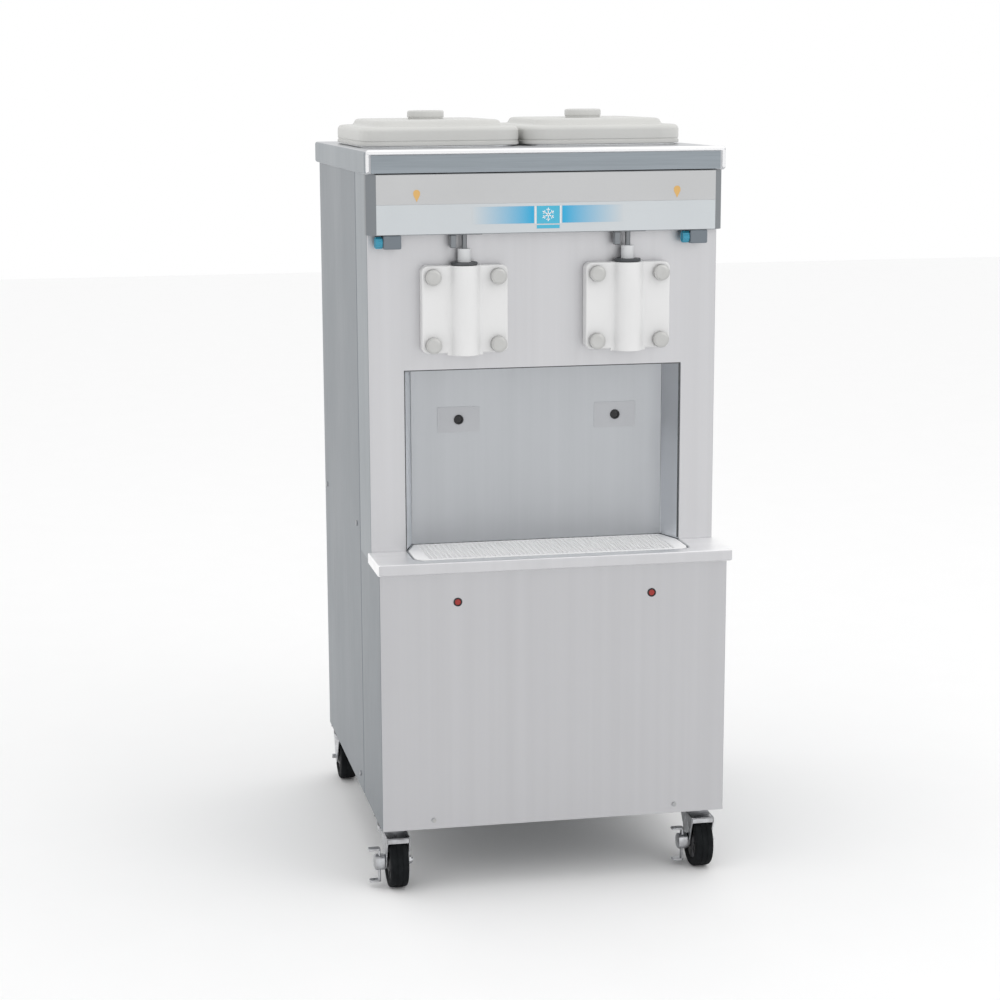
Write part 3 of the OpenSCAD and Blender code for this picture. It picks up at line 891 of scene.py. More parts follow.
@dataclass(frozen=True)
class Paint(Finish):
    """Sprayed or powder-coated metal with orange peel and a few worn specks."""

    roughness: float = 0.45
    under: Color = (0.45, 0.45, 0.46)

    def dress(self, graph: Graph) -> None:
        """Peel drives bump and roughness; the highest grains show the metal.

        Args:
            graph: the material's node tree.
        """
        peel = graph.noise(420.0, detail=2.0)
        wear = graph.noise(60.0, detail=8.0)
        tone = graph.blend(graph.spread(wear, 0.0, 1.0, 0.68, 0.76), self.color, self.under)
        graph.coat(tone, self.rough(graph, peel, 0.08, 0.08))
        graph.bump(peel, 0.16, 0.0003)


@dataclass(frozen=True)
class Rubber(Finish):
    """Rubber with a dusty, slightly uneven skin."""

    roughness: float = 0.72
    dust: Color = (0.12, 0.12, 0.125)
    gloss: float = 0.5

    def dress(self, graph: Graph) -> None:
        """Dust gathers in slow patches over a fine grain.

        Args:
            graph: the material's node tree.
        """
        graph.shader.inputs["Specular IOR Level"].default_value = self.gloss
        patch = graph.noise(45.0, detail=6.0)
        grain = graph.noise(1100.0, detail=2.0)
        tone = graph.blend(graph.spread(patch, 0.0, 1.0, 0.45, 0.8), self.color, self.dust)
        graph.coat(tone, self.rough(graph, grain, 0.1, 0.1))
        graph.bump(grain, 0.25, 0.0002)


@dataclass(frozen=True)
class Plated(Finish):
    """Zinc or chrome plate with faint clouding."""

    roughness: float = 0.26
    metallic: float = 1.0
    cloud: Color = (0.55, 0.54, 0.5)

    def dress(self, graph: Graph) -> None:
        """Clouds drive colour and roughness.

        Args:
            graph: the material's node tree.
        """
        cloud = graph.noise(70.0, detail=5.0)
        fine = graph.noise(1300.0, detail=2.0)
        tone = graph.blend(graph.spread(cloud, 0.0, 1.0, 0.4, 0.75), self.color, self.cloud)
        graph.coat(tone, self.rough(graph, cloud, 0.06, 0.14))
        graph.bump(fine, 0.08, 0.0001)


@dataclass(frozen=True)
class Cast(Finish):
    """Cast iron with a sandy skin and oily patches."""

    roughness: float = 0.6
    metallic: float = 0.4

    def dress(self, graph: Graph) -> None:
        """Sand drives bump, oil the roughness.

        Args:
            graph: the material's node tree.
        """
        sand = graph.noise(650.0, detail=4.0)
        oil = graph.noise(22.0, detail=4.0)
        tone = graph.blend(graph.spread(oil, 0.0, 1.0), shade(self.color, 0.8), shade(self.color, 1.15))
        graph.coat(tone, self.rough(graph, oil, 0.15, 0.1))
        graph.bump(sand, 0.3, 0.0005)


@dataclass(frozen=True)
class Fins(Finish):
    """A pack of thin fins, drawn by a wave across the block."""

    roughness: float = 0.4
    metallic: float = 0.8
    pitch: float = 2.2 * MM

    def dress(self, graph: Graph) -> None:
        """The wave drives colour and bump, its dark bands being painted shade in the gaps between the fins; a
        dust field moves the roughness.

        Args:
            graph: the material's node tree.
        """
        wave = graph.node("ShaderNodeTexWave", bands_direction="X")
        wave.inputs["Scale"].default_value = 1.0 / (self.pitch * 20.0)
        wave.inputs["Distortion"].default_value = 0.0
        graph.wire(graph.coords, wave.inputs["Vector"])
        dust = graph.noise(30.0, detail=5.0)
        # Painted shade: the wave's low bands darken the colour to a quarter, for the gaps between the fins.
        tone = graph.blend(wave.outputs["Fac"], shade(self.color, 0.25), self.color)
        graph.coat(tone, self.rough(graph, dust, 0.1, 0.2))
        graph.bump(wave.outputs["Fac"], 0.6, 0.001)


@dataclass(frozen=True)
class PrintedFilm(Finish):
    """Printed film whose ink fades out with distance from the middle of the machine."""

    roughness: float = 0.3
    ground: Color = (0.7, 0.71, 0.72)
    full: float = 30 * MM
    gone: float = 146 * MM

    def dress(self, graph: Graph) -> None:
        """The distance from the centre plane drives the ink; a fine dot grain breaks it up.

        Args:
            graph: the material's node tree.
        """
        away = graph.node("ShaderNodeMath", operation="ABSOLUTE")
        graph.wire(graph.part(Axis.X), away.inputs[0])
        fade = graph.spread(away.outputs[0], 0.0, 1.0, self.full, self.gone)
        fine = graph.noise(1500.0, detail=2.0)
        grained = graph.node("ShaderNodeMath", operation="MULTIPLY_ADD", use_clamp=True)
        graph.wire(graph.spread(fine, -1.0, 1.0), grained.inputs[0])
        grained.inputs[1].default_value = 0.04
        graph.wire(fade, grained.inputs[2])
        tone = graph.blend(grained.outputs[0], self.color, self.ground)
        graph.coat(tone, self.rough(graph, fine, 0.04, 0.04))
        graph.bump(fine, 0.05, 0.00005)


@dataclass(frozen=True)
class CircuitBoard(Finish):
    """Solder mask over copper pours and pads."""

    roughness: float = 0.35
    copper: Color = (0.45, 0.4, 0.25)

    def dress(self, graph: Graph) -> None:
        """Cells of a Voronoi field stand for copper pours and pads.

        Args:
            graph: the material's node tree.
        """
        mapping = graph.node("ShaderNodeMapping")
        mapping.inputs["Scale"].default_value = (160.0, 160.0, 160.0)
        graph.wire(graph.coords, mapping.inputs["Vector"])
        cells = graph.node("ShaderNodeTexVoronoi", feature="F1", distance="MANHATTAN")
        cells.inputs["Scale"].default_value = 1.0
        graph.wire(mapping.outputs["Vector"], cells.inputs["Vector"])
        mask = graph.spread(cells.outputs["Distance"], 0.0, 1.0, 0.2, 0.24)
        tone = graph.blend(mask, self.copper, self.color)
        graph.coat(tone, self.rough(graph, graph.noise(90.0), 0.08, 0.08))
        graph.bump(cells.outputs["Distance"], 0.2, 0.0003)


class Palette:
    """The machine's finishes; some steels are lighter or darker copies of one steel, painted highlights and
    painted shade as noted at each.
    """

    FRONT = BrushedSteel("front_steel", (0.60, 0.60, 0.615), roughness=0.40, streak=0.035)
    # Painted shade: the front steel darkened for the side panels and the side faces of the lower front panel,
    # where less light falls.
    SIDE = BrushedSteel("shaded_side_steel", (0.26, 0.28, 0.30), roughness=0.42, streak=0.05)
    # Painted shade: the front steel darkened for the side returns of the upper front panel and the ends of
    # the deck.
    SHADED_RETURN = BrushedSteel("shaded_return_steel", (0.335, 0.36, 0.38), roughness=0.42, streak=0.04)
    SERVICE = BrushedSteel("service_steel", (0.525, 0.525, 0.54), roughness=0.40, streak=0.035)
    # Painted highlight: a lighter copy of the recess steel for the recess's splayed side walls.
    LIT_JAMB = BrushedSteel("lit_jamb_steel", (0.87, 0.89, 0.92), roughness=0.44, streak=0.02)
    # Painted shade: the steel darkened for the recess's back wall and the ledge's well.
    RECESS = BrushedSteel("shaded_recess_steel", (0.48, 0.495, 0.515), roughness=0.44, streak=0.03)
    # Painted highlight: a lighter copy of the front steel for the ledge's top.
    LEDGE = BrushedSteel("lit_ledge_steel", (0.96, 0.96, 0.965), roughness=0.36, grain=Grain.ACROSS, streak=0.03)
    DECK = BrushedSteel("deck_steel", (0.52, 0.53, 0.55), roughness=0.36, grain=Grain.ACROSS, streak=0.05)
    # Painted shade: a dark steel band under the deck's rolled rim.
    TRIM = BrushedSteel("shade_band_steel", (0.32, 0.355, 0.385), roughness=0.34, grain=Grain.ACROSS, streak=0.16)
    # Painted highlight: a lighter copy of the deck steel for the rolled rim.
    RIM = BrushedSteel("lit_rim_steel", (0.88, 0.88, 0.89), roughness=0.22, grain=Grain.ACROSS, streak=0.02)
    # Painted shade: the steel darkened for the header channel's sides and underside.
    HEADER = BrushedSteel("shaded_header_steel", (0.24, 0.255, 0.27), roughness=0.4, streak=0.04)
    REAR = BrushedSteel("rear_steel", (0.58, 0.59, 0.60), roughness=0.46, streak=0.05)
    TUB = BrushedSteel("tub_steel", (0.74, 0.75, 0.76), roughness=0.3, streak=0.03)
    TURNED = BrushedSteel("turned_steel", (0.54, 0.54, 0.53), roughness=0.36, grain=Grain.DEPTH, streak=0.06)
    ROD = BrushedSteel("rod_steel", (0.22, 0.23, 0.24), roughness=0.34, streak=0.08)
    SCREW = Plated("screw_plate", (0.36, 0.37, 0.39), roughness=0.3)
    FILM_UPPER = MouldedPlastic("film_upper", (0.50, 0.505, 0.51), roughness=0.34, texture=0.03, drift=0.02)
    FILM_LOWER = MouldedPlastic("film_lower", (0.55, 0.58, 0.60), roughness=0.32, texture=0.03, drift=0.02)
    FILM_BAND = PrintedFilm("film_band", (0.015, 0.36, 0.62), ground=(0.55, 0.58, 0.60))
    FILM_TILE = MouldedPlastic("film_tile", (0.06, 0.42, 0.60), roughness=0.3, texture=0.03)
    FILM_WHITE = MouldedPlastic("film_white", (0.82, 0.84, 0.85), roughness=0.3, texture=0.03)
    AMBER = MouldedPlastic("amber_print", (0.66, 0.40, 0.13), roughness=0.35, texture=0.03)
    # Painted shadow: dark strips along the top and sides of the recess's mouth.
    EDGING = Plated("painted_shadow_line", (0.10, 0.105, 0.11), roughness=0.4, cloud=(0.16, 0.16, 0.165))
    LABEL = MouldedPlastic("label_grey", (0.44, 0.45, 0.47), roughness=0.4, texture=0.05)
    COVER = MouldedPlastic("cover_plastic", (0.62, 0.62, 0.60), roughness=0.48, texture=0.16)
    KNOB = MouldedPlastic("knob_plastic", (0.60, 0.60, 0.585), roughness=0.36, texture=0.08)
    DOOR = MouldedPlastic("door_plastic", (0.73, 0.73, 0.73), roughness=0.34, texture=0.08)
    VALVE = MouldedPlastic("valve_plastic", (0.62, 0.63, 0.64), roughness=0.4)
    COLLAR = Rubber("collar_rubber", (0.05, 0.055, 0.06), roughness=0.5)
    SEAL_WHITE = Rubber("seal_white", (0.7, 0.7, 0.68), dust=(0.6, 0.6, 0.58), roughness=0.6)
    SEAL_BLACK = Rubber("seal_black", (0.02, 0.02, 0.02))
    BLACK = MouldedPlastic("black_plastic", (0.018, 0.018, 0.02), roughness=0.32)
    LENS = MouldedPlastic("lens_black", (0.006, 0.006, 0.008), roughness=0.12, texture=0.01)
    HOUSING = MouldedPlastic("switch_grey", (0.15, 0.175, 0.20), roughness=0.42)
    BLUE = MouldedPlastic("switch_blue", (0.03, 0.27, 0.40), roughness=0.35)
    RED = MouldedPlastic("button_red", (0.32, 0.02, 0.015), roughness=0.3)
    TRAY = MouldedPlastic("tray_plastic", (0.84, 0.84, 0.84), roughness=0.4)
    GRID = MouldedPlastic("grid_plastic", (0.95, 0.95, 0.955), roughness=0.38)
    FORK = Plated("fork_zinc", (0.56, 0.57, 0.59), roughness=0.28, cloud=(0.4, 0.4, 0.41))
    PLATE = Plated("plate_zinc", (0.12, 0.125, 0.135), roughness=0.38, cloud=(0.2, 0.2, 0.2))
    TYRE = Rubber(
        "tyre_rubber", (0.004, 0.005, 0.006), dust=(0.012, 0.014, 0.015), roughness=0.75, gloss=0.15
    )
    HUB = MouldedPlastic("hub_plastic", (0.03, 0.03, 0.033), roughness=0.4)
    FRAME = Paint("frame_paint", (0.2, 0.21, 0.22))
    MOTOR = Paint("motor_paint", (0.05, 0.1, 0.17))
    ENAMEL = Paint("compressor_enamel", (0.012, 0.012, 0.013), roughness=0.28)
    GEARBOX = Cast("gearbox_iron", (0.14, 0.15, 0.16))
    IRON = Cast("pulley_iron", (0.22, 0.23, 0.24), roughness=0.42, metallic=0.9)
    BELT = Rubber("belt_rubber", (0.015, 0.015, 0.015))
    FINS = Fins("condenser_fins", (0.55, 0.53, 0.48))
    BOARD = CircuitBoard("board_green", (0.02, 0.16, 0.07))
    FAN = MouldedPlastic("fan_grey", (0.12, 0.12, 0.13))
    BEATER = MouldedPlastic("beater_plastic", (0.76, 0.76, 0.74), roughness=0.36)


# ------------------------------------------------------------------ sub-assemblies


@dataclass
class Cabinet:
    """Side panels, front panels and the dark strips behind their seams."""

    root: str
    sheet: float = 1.5 * MM
    fold: float = 6 * MM
    seam: float = 4 * MM
    bore: float = 62 * MM
    button_hole: float = 7.4 * MM

    def build(self) -> None:
        """Builds every panel."""
        self.lower_front()
        self.upper_front()
        for side in Side:
            self.side_panel(side)
        self.seam_strips()

    def plan(self, box: Box) -> list[Point2]:
        """Plan of a front panel with both side returns.

        Args:
            box: the panel's CAD box.

        Returns:
            The plan line of its outer surface, from the left rear to the right rear.
        """
        rear = box.hi.y - self.seam / 2
        tuck = 8 * MM
        corners = [
            (box.lo.x + tuck, rear),
            (box.lo.x, rear),
            (box.lo.x, box.lo.y),
            (box.hi.x, box.lo.y),
            (box.hi.x, rear),
            (box.hi.x - tuck, rear),
        ]
        return filleted(corners, self.fold / 2, 4)

    def lower_front(self) -> None:
        """The service panel under the ledge, with a bushing round each reset button."""
        box = Box.of("lower_front_panel")
        face = box.lo.y + 2 * MM
        body = Box(Vector((box.lo.x, face, box.lo.z)), box.hi)
        shape = Shape().sheet(self.plan(body), box.lo.z, box.hi.z, self.sheet, (0, -1, 0))
        hem = 14 * MM
        edge = face + self.sheet + 0.2 * MM
        hem_hi = (box.hi.x - 4 * MM, edge + hem, box.lo.z + 1.2 * MM)
        shape.block((box.lo.x + 4 * MM, edge, box.lo.z), hem_hi, 0.4 * MM, 2)
        # Painted shade: the faces that look sideways take the darker side steel.
        shape.tint(Axis.X, 1)
        panel = shape.finish(
            "lower_front_skin", [Palette.SERVICE, Palette.SIDE], self.root, "stainless_front",
            ["lower_front_panel"],
        )
        holes = Shape()
        bushings = Shape()
        for side in Side:
            button = Box.of(f"reset_button_{side.word}").mid
            center = (button.x, face, button.z)
            holes.bar(self.button_hole, (-10 * MM, 10 * MM), center, Axis.Y)
            ring = in_mm(
                [
                    (6.1, 16), (6.1, -1.2), (6.6, -1.9), (7.6, -2.0), (8.4, -1.2), (8.5, -0.1), (7.2, -0.1),
                    (7.2, 16),
                ]
            )
            bushings.lathe(ring, center, Axis.Y, closed=True)
        cut(panel, holes)
        bushings.finish("reset_bushings", [Palette.BLACK], self.root, "switch_grey")

    def upper_front(self) -> None:
        """The panel behind the doors, open for the recess and for both cylinders."""
        box = Box.of("upper_front_panel")
        liner = Box.of("splash_liner")
        half = liner.hi.x - self.sheet
        window = (-half, half, box.lo.z - 1 * MM, liner.hi.z - self.sheet)
        shape = Shape().sheet(self.plan(box), box.lo.z, box.hi.z, self.sheet, (0, -1, 0), [window])
        # Painted shade: the side returns take a darker copy of the front steel.
        shape.tint(Axis.X, 1)
        panel = shape.finish(
            "upper_front_skin", [Palette.FRONT, Palette.SHADED_RETURN], self.root, "stainless_front",
            ["upper_front_panel"],
        )
        holes = Shape()
        for side in Side:
            door = Box.of(f"freezer_door_{side.word}").mid
            barrel = Box.of(f"beater_{side.word}").mid
            holes.bar(self.bore, (-9 * MM, 9 * MM), (door.x, box.lo.y, barrel.z), Axis.Y, 64)
        cut(panel, holes)

    def side_panel(self, side: Side) -> None:
        """A side panel: a sheet with folded front and rear edges.

        Args:
            side: which side.
        """
        node = f"side_panel_{side.word}"
        box = Box.of(node)
        outer = side.value * max(abs(box.lo.x), abs(box.hi.x))
        tuck = side.value * 7 * MM
        front = box.lo.y + self.seam / 2
        plan = filleted(
            [
                (outer - tuck, front), (outer, front), (outer, box.hi.y), (outer - tuck, box.hi.y)
            ], self.fold / 2, 4
        )
        shape = Shape().sheet(plan, box.lo.z, box.hi.z, self.sheet, (side.value, 0, 0))
        shape.finish(f"side_skin_{side.word}", [Palette.SIDE], self.root, "stainless_side", [node])

    def seam_strips(self) -> None:
        """The dark strips that show through the seams between the front and the side panels."""
        box = Box.of("side_panel_right")
        shape = Shape()
        for side in Side:
            x0, x1 = mirrored(side.value, box.hi.x - 4.5 * MM, box.hi.x - 2.6 * MM)
            lo = (x0, box.lo.y - 9 * MM, box.lo.z + 3 * MM)
            shape.block(lo, (x1, box.lo.y + 9 * MM, box.hi.z - 2 * MM), 0.3 * MM, 2)
        shape.finish("seam_strips", [Palette.SEAL_BLACK], self.root, "stainless_side")


@dataclass
class Ledge:
    """Serving ledge with its well, the drip tray and the perforated grid."""

    root: str
    lip: float = 22 * MM
    edge: float = 3 * MM
    wall: float = 1.5 * MM
    pitch: float = 9.5 * MM
    hole: float = 5.2 * MM
    field: float = 242 * MM

    def tray_plan(self, gap: float) -> list[Point2]:
        """Plan of the tray, with round front corners and sides that close in at the back.

        Args:
            gap: how much wider it is than the tray, all round.

        Returns:
            The outline, counterclockwise.
        """
        tray = Box.of("drip_tray")
        liner = Box.of("splash_liner")
        turn_y = liner.lo.y - 1.5 * MM
        back_half = tray.hi.x - 20 * MM
        corner = 22 * MM
        x, y0, y1 = tray.hi.x + gap, tray.lo.y - gap, tray.hi.y + gap
        right_front = arc((x - corner, y0 + corner), corner, -90, 0, 8)
        left_front = arc((-x + corner, y0 + corner), corner, 180, 270, 8)
        back = [(x, turn_y), (back_half + gap, y1), (-back_half - gap, y1), (-x, turn_y)]
        return right_front + back + left_front

    def build(self) -> None:
        """Builds the ledge, the tray and the grid."""
        self.ledge()
        self.tray()
        self.grid()

    def ledge(self) -> None:
        """A folded ledge with a rounded lip round an open well."""
        box = Box.of("drip_shelf")
        upper = Box.of("upper_front_panel")
        top, back = box.hi.z, upper.lo.y
        inner = [p for p in self.tray_plan(2.5 * MM) if p[1] < back]
        x_in = max(p[0] for p in inner)
        inner.sort(key=lambda p: math.atan2(p[1] - back, p[0]))
        corner = 9 * MM
        outer = [(box.lo.x, back)] + arc((box.lo.x + corner, box.lo.y + corner), corner, 180, 270, 6)
        outer += arc((box.hi.x - corner, box.lo.y + corner), corner, 270, 360, 6) + [(box.hi.x, back)]
        inner_line = [(x_in, back)] + inner[::-1] + [(-x_in, back)]
        shape = Shape().prism(outer + inner_line, top - self.lip, top, Axis.Z, self.edge, 4)
        # Painted highlight: the top takes a lighter copy of the steel, while the faces that look forward keep
        # the front steel.
        shape.tint(Axis.Y, 1)
        shape.finish(
            "ledge_skin", [Palette.LEDGE, Palette.FRONT], self.root, "stainless_ledge", ["drip_shelf"]
        )
        # Painted shade: the well takes the darkened recess steel.
        well = Shape().tub(self.tray_plan(2.4 * MM), box.lo.z, top - 0.8 * MM, self.wall, 5 * MM)
        well.finish("ledge_well", [Palette.RECESS], self.root, "stainless_recess")
        low, high = top - 5.6 * MM, top - 3.2 * MM
        wide, narrow = self.tray_plan(2.3 * MM), self.tray_plan(0.5 * MM)
        section = ((wide, low), (wide, high), (narrow, high), (narrow, low), (wide, low))
        loops = [[(x, y, z) for x, y in plan] for plan, z in section]
        seal = Shape().loft(loops, capped=False)
        seal.finish("ledge_seal", [Palette.SEAL_BLACK], self.root, "stainless_ledge")

    def tray(self) -> None:
        """The white tray, with a rounded floor edge."""
        box = Box.of("drip_tray")
        shape = Shape().tub(self.tray_plan(0.0), box.lo.z, box.hi.z, 2 * MM, 7 * MM)
        shape.finish("tray_shell", [Palette.TRAY], "drip_tray", "tray_plastic", ["drip_tray"])

    def grid(self) -> None:
        """The grid: a rim that follows the tray, with a field of small square holes inside it."""
        box = Box.of("splash_grid")
        half = self.field
        y0, y1 = box.lo.y + 10 * MM, box.hi.y - 9 * MM
        columns = round(2 * half / self.pitch)
        rows = round((y1 - y0) / self.pitch)
        top = box.hi.z
        field = bmesh.new()
        middle = Vector((0.0, (y0 + y1) / 2, top))
        stretch = Matrix.Diagonal((half, (y1 - y0) / 2, 1.0, 1.0))
        bmesh.ops.create_grid(
            field, x_segments=columns, y_segments=rows, size=1.0, matrix=Matrix.Translation(middle) @ stretch
        )
        bmesh.ops.inset_individual(field, faces=field.faces[:], thickness=(self.pitch - self.hole) / 2)
        holes = [f for f in field.faces if f.calc_area() > 0.25 * self.pitch**2]
        bmesh.ops.delete(field, geom=holes, context="FACES")
        bmesh.ops.solidify(field, geom=field.faces[:], thickness=box.size.z * 0.9)
        shape = Shape().absorb(field, 0)
        lap = 0.5 * MM
        self.rim(shape, half - lap, (y0 + lap, y1 - lap), (box.lo.z, top))
        shape.finish(
            "grid_plate", [Palette.GRID], "splash_grid", "grid_plastic", ["splash_grid"], weighted=False
        )

    def rim(self, shape: Shape, x: float, depth: Point2, height: Point2) -> None:
        """A flat ring between the tray's outline and the rectangle of holes, as four strips.

        Args:
            shape: the shape that takes the strips.
            x: half width of the rectangle.
            depth: the rectangle's front and back.
            height: underside and top of the strips.
        """
        outline = self.tray_plan(-0.6 * MM)
        y0, y1 = depth
        z0, z1 = height
        front = [p for p in outline if p[1] < y0] + [(outline_x(outline, y0, sign), y0) for sign in (-1, 1)]
        front.sort(key=lambda p: math.atan2(p[1] - (y0 + 1 * MM), p[0]))
        shape.prism(front, z0, z1, Axis.Z, 0.5 * MM, 2)
        turn = max(p[1] for p in outline if abs(p[0]) > x + 24 * MM)
        back = max(p[1] for p in outline)
        back_x = max(p[0] for p in outline if p[1] > back - 1e-6)
        wide = max(p[0] for p in outline)
        for sign in (1, -1):
            half_strip = [(x, y0), (outline_x(outline, y0, 1), y0), (wide, y0 + 12 * MM), (wide, turn)]
            half_strip += [(back_x, back), (x, back)]
            shape.prism([(sign * a, b) for a, b in half_strip], z0, z1, Axis.Z, 0.5 * MM, 2)
        shape.prism([(-x, y1), (x, y1), (x, back), (-x, back)], z0, z1, Axis.Z, 0.5 * MM, 2)


def outline_x(outline: Sequence[Point2], y: float, sign: int) -> float:
    """Where an outline crosses a height.

    Args:
        outline: the outline.
        y: the height.
        sign: one for its right side, minus one for its left.

    Returns:
        The x of the crossing.
    """
    for (xa, ya), (xb, yb) in zip(outline, list(outline[1:]) + [outline[0]]):
        if (xa + xb) * sign > 0 and min(ya, yb) <= y <= max(ya, yb) and ya != yb:
            return xa + (xb - xa) * (y - ya) / (yb - ya)
    return sign * max(p[0] for p in outline)


@dataclass
class Recess:
    """The splayed lining behind the cups, with a sensor and a plate on each side."""

    root: str
    sheet: float = 1.5 * MM
    splay: float = 21 * MM
    plate: Point2 = (42 * MM, 25 * MM)

    def build(self) -> None:
        """Builds the lining, its ceiling and the sensors."""
        box = Box.of("splash_liner")
        x1 = box.hi.x - 0.3 * MM
        back = box.hi.y
        plan = filleted(
            [(-x1, box.lo.y), (-x1 + self.splay, back), (x1 - self.splay, back), (x1, box.lo.y)], 4 * MM, 4
        )
        shape = Shape().sheet(plan, box.lo.z, box.hi.z - 0.2 * MM, self.sheet, (0, 1, 0))
        half = [(x1 - 1 * MM, box.lo.y), (x1 - self.splay, back - 1 * MM)]
        top = [(-half[0][0], half[0][1])] + half + [(-half[1][0], half[1][1])]
        shape.prism(top, box.hi.z - self.sheet, box.hi.z, Axis.Z, 0.3 * MM, 2)
        # Painted highlight: the splayed side walls take a lighter copy of the lining's steel.
        shape.tint(Axis.X, 1)
        liner = shape.finish(
            "recess_skin", [Palette.RECESS, Palette.LIT_JAMB], self.root, "stainless_recess", ["splash_liner"]
        )
        self.edging(box, x1)
        holes = Shape()
        for side in Side:
            self.sensor(side, holes)
        cut(liner, holes)

    def edging(self, box: Box, half: float) -> None:
        """Dark strips inside the recess's mouth, at the top and on both sides: painted shadow under the
        mouth's top edge and along its sides.

        Args:
            box: the lining's CAD box.
            half: half width of the mouth.
        """
        y0, y1 = box.lo.y + 0.4 * MM, box.lo.y + 6 * MM
        top = box.hi.z - self.sheet
        shape = Shape().block((-half + 2 * MM, y0, top - 2.2 * MM), (half - 2 * MM, y1, top), 0.5 * MM, 2)
        for sign in (-1, 1):
            x0, x1 = mirrored(sign, half - self.sheet - 2.2 * MM, half - self.sheet - 0.2 * MM)
            shape.block((x0, y0, box.lo.z + 2 * MM), (x1, y1, top), 0.5 * MM, 2)
        shape.finish("recess_edging", [Palette.EDGING], self.root, "stainless_recess")

    def sensor(self, side: Side, holes: Shape) -> None:
        """A lens in a bezel, on a grey plate.

        Args:
            side: which side.
            holes: takes the hole that the sensor's barrel needs.
        """
        box = Box.of("cup_sensors")
        x = side.value * (box.hi.x - box.size.z / 2)
        z = box.mid.z
        face = Box.of("splash_liner").hi.y - self.sheet
        holes.bar(6.2 * MM, (-4 * MM, 4 * MM), (x, face, z), Axis.Y)
        plate = Shape().prism(
            round_rect(self.plate, 3 * MM, (x, z)), face - 0.7 * MM, face - 0.05 * MM, Axis.Y, 0.25 * MM, 2
        )
        plate.finish(f"sensor_plate_{side.word}", [Palette.LABEL], self.root, "stainless_recess")
        lens = [(0, -3.0), (3, -2.8), (5.6, -2.0), (6.4, -1.9)]
        bezel = [(6.8, -3.4), (8.6, -3.3), (9.4, -2.4), (9.5, -0.75), (5.5, -0.75), (5.5, 24), (0, 24)]
        shape = Shape().lathe(in_mm(lens + bezel), (x, face, z), Axis.Y, 40)
        nodes = ["cup_sensors"] if side is Side.LEFT else []
        shape.finish(f"sensor_eye_{side.word}", [Palette.LENS], self.root, "sensor_black", nodes)


